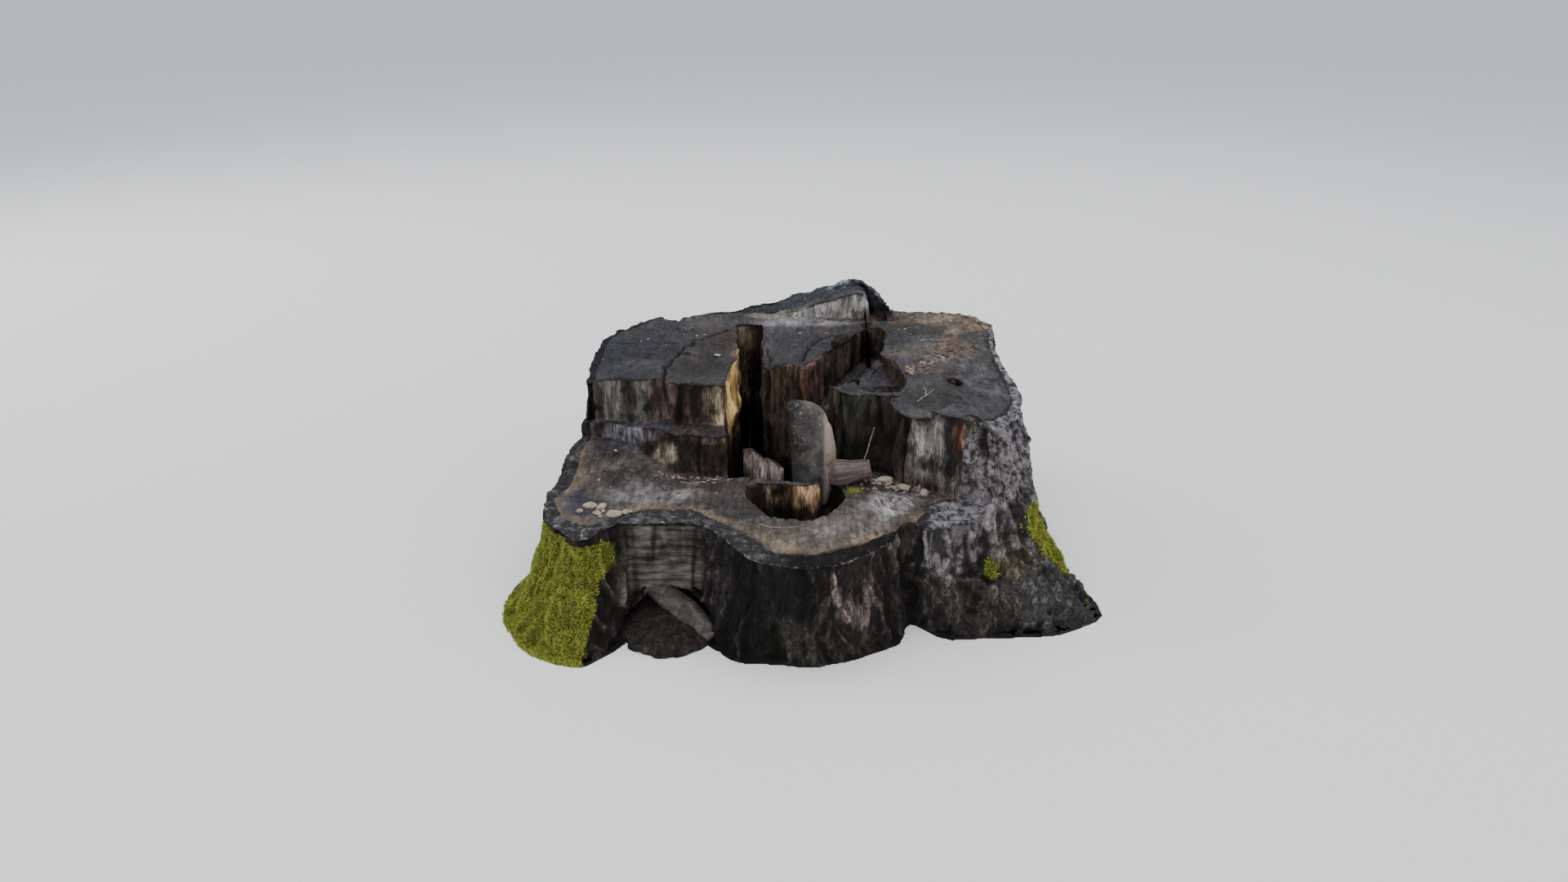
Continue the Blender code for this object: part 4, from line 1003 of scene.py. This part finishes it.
def strew(name, runs, material):
    """One piece of loose crumbs. A run is its two ends, half-width and count, and the length of a crumb."""
    vertices, faces, tones = [], [], []
    for start, stop, half_width, count, length in runs:
        for _ in range(count):
            centre = (
                np.array(start) + (np.array(stop) - start) * crumb_rng.random()
                + crumb_rng.normal(0, half_width / 2, 2)
            )
            shape = 1.25 * np.array((length, length * 0.45, length * 0.30)) * crumb_rng.uniform(0.55, 1.3, 3)
            turn = Matrix.Rotation(crumb_rng.uniform(0, 6.28), 3, "Z")
            form = crumb_points * crumb_rng.uniform(0.65, 1.2, crumb_points.shape) * shape
            ground, way = ground_under(*centre)
            if ground is None or way.z < 0.6:
                continue
            lie = np.array(way.to_track_quat("Z", "Y").to_matrix() @ turn)
            form = form @ lie.T + np.array(ground) + np.array(way) * shape[2] * 0.38
            faces += [tuple(n + len(vertices) for n in face) for face in crumb_faces]
            vertices += np.clip(form, low + CLEAR, high - CLEAR).tolist()
            tones += [crumb_rng.random()] * len(crumb_points)
    piece = gather(name, vertices, faces, material)
    keep_values(piece.data, "tone", tones)


crumb_material, tree, shader = new_material("rotten_crumbs")
mottle = place_group(tree, "damp mottling", {"Size": 150.0})
base = blended(tree, read(tree, "tone"), (0.060, 0.036, 0.030, 1), (0.420, 0.320, 0.280, 1))
base = blended(tree, product(tree, mottle["Patch"], 0.4), base, (0.150, 0.098, 0.080, 1))
dress(tree, shader, base)
strew("rotten_crumbs", [
    ((0.183, -0.009), (0.275, 0.056), 0.012, 34, 0.012), ((0.110, -0.150), (0.150, -0.152), 0.010, 16, 0.013),
    ((0.140, -0.160), (0.215, -0.188), 0.012, 36, 0.013), ((-0.250, -0.132), (-0.110, -0.138), 0.008, 26, 0.010),
    ((0.072, -0.175), (0.130, -0.185), 0.012, 14, 0.010), ((-0.330, -0.140), (-0.150, -0.190), 0.050, 20, 0.007),
    ((-0.300, 0.060), (-0.150, 0.120), 0.080, 16, 0.006), ((0.190, 0.120), (0.300, 0.180), 0.080, 20, 0.007),
    ((0.000, 0.060), (0.080, 0.140), 0.060, 14, 0.007),
], crumb_material)
strew("pale_flakes", [
    ((-0.149, 0.040), (-0.148, 0.041), 0.002, 2, 0.013), ((-0.284, -0.261), (-0.280, -0.258), 0.004, 2, 0.016),
    ((-0.168, -0.148), (-0.141, -0.139), 0.004, 4, 0.007), ((-0.320, -0.262), (-0.345, -0.240), 0.012, 8, 0.009),
    ((0.120, -0.170), (0.200, -0.190), 0.010, 6, 0.008), ((0.170, 0.000), (0.260, 0.050), 0.010, 5, 0.007),
], chip_material)


def stick(name, line, thickness, radii):
    """A round stick along a line of points; the radii are shares of its thickness."""
    bpy.ops.object.select_all(action="DESELECT")
    bpy.ops.curve.primitive_nurbs_path_add(location=(0, 0, 0))
    made = bpy.context.active_object
    made.name = name
    made.data.splines.clear()
    path = made.data.splines.new("POLY")
    path.points.add(len(line) - 1)
    for point, place, radius in zip(path.points, line, radii):
        point.co = (*place, 1)
        point.radius = radius
    made.data.bevel_depth = thickness
    made.data.bevel_resolution = 2
    made.data.use_fill_caps = True
    bpy.ops.object.convert(target="MESH")
    return bpy.context.active_object


def roughened(piece, grain, depth, size, seed):
    """Lays an even skin over a stick and works lumps and hollows into it."""
    modify(piece, "REMESH", mode="VOXEL", voxel_size=grain)
    modify(piece, "SMOOTH", factor=0.5, iterations=4)
    points = points_of(piece.data)
    points = points + normals_of(piece.data) * (depth * rough(points, size, 4, seed))[:, None]
    points[:, 2] = np.maximum(points[:, 2], 0)
    move_points(piece.data, np.clip(points, low + (CLEAR, CLEAR, 0), high - CLEAR))
    only(piece)
    bpy.ops.object.shade_smooth()


TWIGS = [
    ([(0.126, -0.100, 0.250), (0.119, -0.108, 0.228), (0.113, -0.124, 0.214), (0.106, -0.150, 0.213)],
     0.0011, 0),
    ([(0.196, -0.104, 0), (0.206, -0.096, 0), (0.216, -0.090, 0), (0.228, -0.076, 0)], 0.0011, 1),
    ([(0.212, -0.092, 0), (0.214, -0.080, 0), (0.211, -0.070, 0)], 0.0009, 1),
    ([(-0.068, -0.290, 0), (-0.050, -0.300, 0), (-0.029, -0.304, 0), (-0.008, -0.299, 0), (0.010, -0.290, 0)],
     0.0009, 1),
    ([(0.235, 0.110, 0), (0.262, 0.104, 0), (0.280, 0.112, 0)], 0.0010, 1),
    ([(-0.205, -0.150, 0), (-0.190, -0.158, 0), (-0.170, -0.155, 0)], 0.0010, 1),
]
twig_material, tree, shader = new_material("dead_twigs")
mottle = place_group(tree, "damp mottling", {"Size": 190.0})
dress(tree, shader, blended(tree, mottle["Patch"], (0.130, 0.105, 0.085, 1), (0.360, 0.320, 0.270, 1)))
twigs = []
for number, (line, thickness, lies) in enumerate(TWIGS):
    if lies:
        line = [(px, py, ground_under(px, py)[0].z + 0.6 * thickness) for px, py, _ in line]
    twigs.append(stick("twig_%d" % number, line, thickness, (1.0, 0.9, 0.75, 0.6, 0.5)))
bpy.ops.object.select_all(action="DESELECT")
for twig in twigs:
    twig.select_set(True)
bpy.context.view_layer.objects.active = twigs[0]
bpy.ops.object.join()
twigs = bpy.context.active_object
twigs.name = twigs.data.name = "dead_twigs"
bpy.ops.object.shade_smooth()
coat(twigs, twig_material)
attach(twigs, "root")

# ---------------------------------------------------------------- the stub, and what lies under the notch
# A short stub of red rotten wood in the trench between the blocks. Below the notch a smooth grey root
# comes out of the trunk and lies on wood that has crumbled to dark lumps.
buried_material, tree, shader = new_material("rotten_wood")
mottle = place_group(tree, "damp mottling", {"Size": 60.0})
crusts = place_group(tree, "bark crust", {"Fineness": 140.0})
base = blended(tree, mottle["Patch"], (0.016, 0.012, 0.011, 1), (0.060, 0.044, 0.038, 1))
base = blended(tree, product(tree, crusts["Gap"], 0.7), base, (0.006, 0.005, 0.005, 1))
dress(tree, shader, base, 1.0, 0.0030, crusts["Height"])
root_material, tree, shader = new_material("smooth_root")
mottle = place_group(tree, "damp mottling", {"Size": 40.0})
fibres = place_group(tree, "torn fibres", {"Fineness": 120.0, "Length": 1.0})
base = blended(tree, mottle["Patch"], (0.036, 0.032, 0.028, 1), (0.135, 0.122, 0.108, 1))
base = blended(tree, between(tree, fibres["Streak"], 0.0, 1.0, 0.6, 0.0), base, (0.035, 0.030, 0.027, 1))
dress(tree, shader, base, 0.8, 0.0015, fibres["Height"])

bpy.ops.object.select_all(action="DESELECT")
bpy.ops.mesh.primitive_ico_sphere_add(subdivisions=6, radius=1, location=(0, 0, 0))
crumbled_wood = bpy.context.active_object
crumbled_wood.name = crumbled_wood.data.name = "crumbled_wood"
heap = points_of(crumbled_wood.data) * (0.082, 0.088, 0.026) + (-0.214, -0.328, 0)
heap = heap + 0.014 * rough(heap, 0.034, 5, 401)[:, None] * (0.9, 0.9, 0.8)
heap[:, 2] = np.maximum(heap[:, 2], 0)
move_points(crumbled_wood.data, heap)
only(crumbled_wood)
bpy.ops.object.shade_smooth()
stub_foot = ground_under(0.080, 0.100)[0].z
stub = stick(
    "red_stub",
    [(0.064, 0.082, stub_foot + 0.006), (0.076, 0.096, stub_foot + 0.012), (0.090, 0.112, stub_foot + 0.008)],
    0.0110, (0.9, 1.0, 0.8),
)
roughened(stub, 0.0014, 0.0030, 0.012, 411)
root = stick(
    "smooth_root",
    [
        (-0.246, -0.282, 0.050), (-0.216, -0.300, 0.038), (-0.190, -0.320, 0.024), (-0.164, -0.342, 0.010),
        (-0.144, -0.362, -0.004),
    ],
    0.0220, (0.7, 0.95, 1.1, 1.15, 1.0),
)
roughened(root, 0.0018, 0.0060, 0.045, 421)
for piece, material in ((crumbled_wood, buried_material), (stub, buried_material), (root, root_material)):
    piece.data.name = piece.name
    coat(piece, material)
    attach(piece, "root")

# ---------------------------------------------------------------- the moss
# Yellow-green cushion moss, mostly on the damp side of the left root, with small tufts on the right.
# It is thousands of short shoots that grow close together out of the bark.
rng = np.random.default_rng(7)
a, b, c = (trunk_points[trunk_faces[:, k]] for k in range(3))
face_normals = np.cross(b - a, c - a)
face_areas = np.linalg.norm(face_normals, axis=1)
face_normals /= np.maximum(face_areas, 1e-12)[:, None]
moss_on_faces = moss_at_points[trunk_faces].mean(1)
clump = rough((a + b + c) / 3, 0.030, 4, 301)
moss_weight = face_areas * ease(0.30, 0.62, moss_on_faces + 0.42 * clump)
# The moss: how many shoots, and their heights, half-widths, and corners round the foot, as angles
SHOOTS = 15000
SHOOT_HEIGHTS, SHOOT_WIDTHS = (0.0035, 0.0075), (0.0010, 0.0018)
SHOOT_CORNERS = (0, 2.094, 4.189)
chosen = rng.choice(len(trunk_faces), SHOOTS, p=moss_weight / moss_weight.sum())
u, v = rng.random(SHOOTS), rng.random(SHOOTS)
flip = u + v > 1
u[flip], v[flip] = 1 - u[flip], 1 - v[flip]
roots = a[chosen] + (b - a)[chosen] * u[:, None] + (c - a)[chosen] * v[:, None]
way = face_normals[chosen] + rng.normal(0, 0.35, (SHOOTS, 3)) + np.array((0, 0, 0.25))
way /= np.linalg.norm(way, axis=1)[:, None]
thick = 0.55 + 0.45 * ease(-0.5, 0.5, clump[chosen])
tall = rng.uniform(*SHOOT_HEIGHTS, SHOOTS) * thick
broad = rng.uniform(*SHOOT_WIDTHS, SHOOTS)
side_way = np.cross(way, rng.normal(0, 1, (SHOOTS, 3)))
side_way /= np.linalg.norm(side_way, axis=1)[:, None]
other_way = np.cross(way, side_way)
corners = [
    roots - way * 0.0012 + (side_way * math.cos(t) + other_way * math.sin(t)) * broad[:, None]
    for t in SHOOT_CORNERS
]
tips = roots + way * tall[:, None]
shoots = np.stack(corners + [tips], 1).reshape(-1, 3)
shoots = np.clip(shoots, low + CLEAR, high - CLEAR)
first = np.arange(SHOOTS)[:, None] * 4
shoot_faces = np.concatenate([first + np.array(f) for f in ((0, 1, 3), (1, 2, 3), (2, 0, 3), (0, 2, 1))])

moss_material, tree, shader = new_material("cushion_moss", 0.85)
mottle = place_group(tree, "damp mottling", {"Size": 30.0})
shoot_tone = read(tree, "shoot")
base = blended(tree, mottle["Patch"], (0.052, 0.062, 0.016, 1), (0.262, 0.284, 0.044, 1))
base = blended(tree, shoot_tone, base, (0.380, 0.410, 0.062, 1))
base = blended(tree, product(tree, mottle["Spot"], 0.35), base, (0.090, 0.060, 0.020, 1))
dress(tree, shader, base)
moss_piece = gather("cushion_moss", shoots, shoot_faces.tolist(), moss_material)
tone = np.repeat(rng.uniform(0, 0.55, SHOOTS), 4)
tone[3::4] += 0.35
keep_values(moss_piece.data, "shoot", np.clip(tone, 0, 1))

# ---------------------------------------------------------------- the floor and the light
# A pale studio floor, painted paler further off where the lamps light it less, and an even soft light from
# above as under a cloudy sky. Neither is a piece of the stump.
FLOOR_REACH, FLOOR_RIM = 90, 70
LIT_MIDDLE = Vector((0, 0, 0.2))
bpy.ops.mesh.primitive_circle_add(vertices=96, radius=FLOOR_REACH, fill_type="NGON", location=(0, 0, 0))
floor = bpy.context.active_object
floor.name = "studio_floor"
bpy.ops.object.mode_set(mode="EDIT")
bpy.ops.mesh.inset(thickness=FLOOR_RIM)
bpy.ops.object.mode_set(mode="OBJECT")
floor_material, tree, shader = new_material("studio_floor", 0.95)
# Painted light: the floor is paler further off, where the lamps light it less
far_off = put(tree, "VectorMath", {0: own_place(tree)}, operation="LENGTH").outputs["Value"]
dress(
    tree, shader,
    blended(tree, between(tree, far_off, 0.8, 4.0), (0.820, 0.820, 0.820, 1), (0.985, 0.985, 0.985, 1)),
)
coat(floor, floor_material)

world = bpy.data.worlds.new("cloudy_sky")
bpy.context.scene.world = world
world.use_nodes = True
world.node_tree.nodes["Background"].inputs[0].default_value = (0.86, 0.89, 0.94, 1)
world.node_tree.nodes["Background"].inputs[1].default_value = 0.78
for name, lamp_place, size, power in (
    ("sky_above", (0.3, 1.2, 4.2), 3.2, 120),
    ("window_left", (-3.6, 1.4, 2.6), 1.8, 60),
    ("window_right", (2.6, -1.6, 2.8), 2.4, 26),
    ("window_front", (-0.6, -3.4, 2.0), 2.4, 40),
):
    bpy.ops.object.light_add(type="AREA", location=lamp_place)
    lamp = bpy.context.active_object
    lamp.name = name
    lamp.data.size = size
    lamp.data.energy = power
    lamp.rotation_euler = (LIT_MIDDLE - Vector(lamp_place)).to_track_quat("-Z", "Y").to_euler()
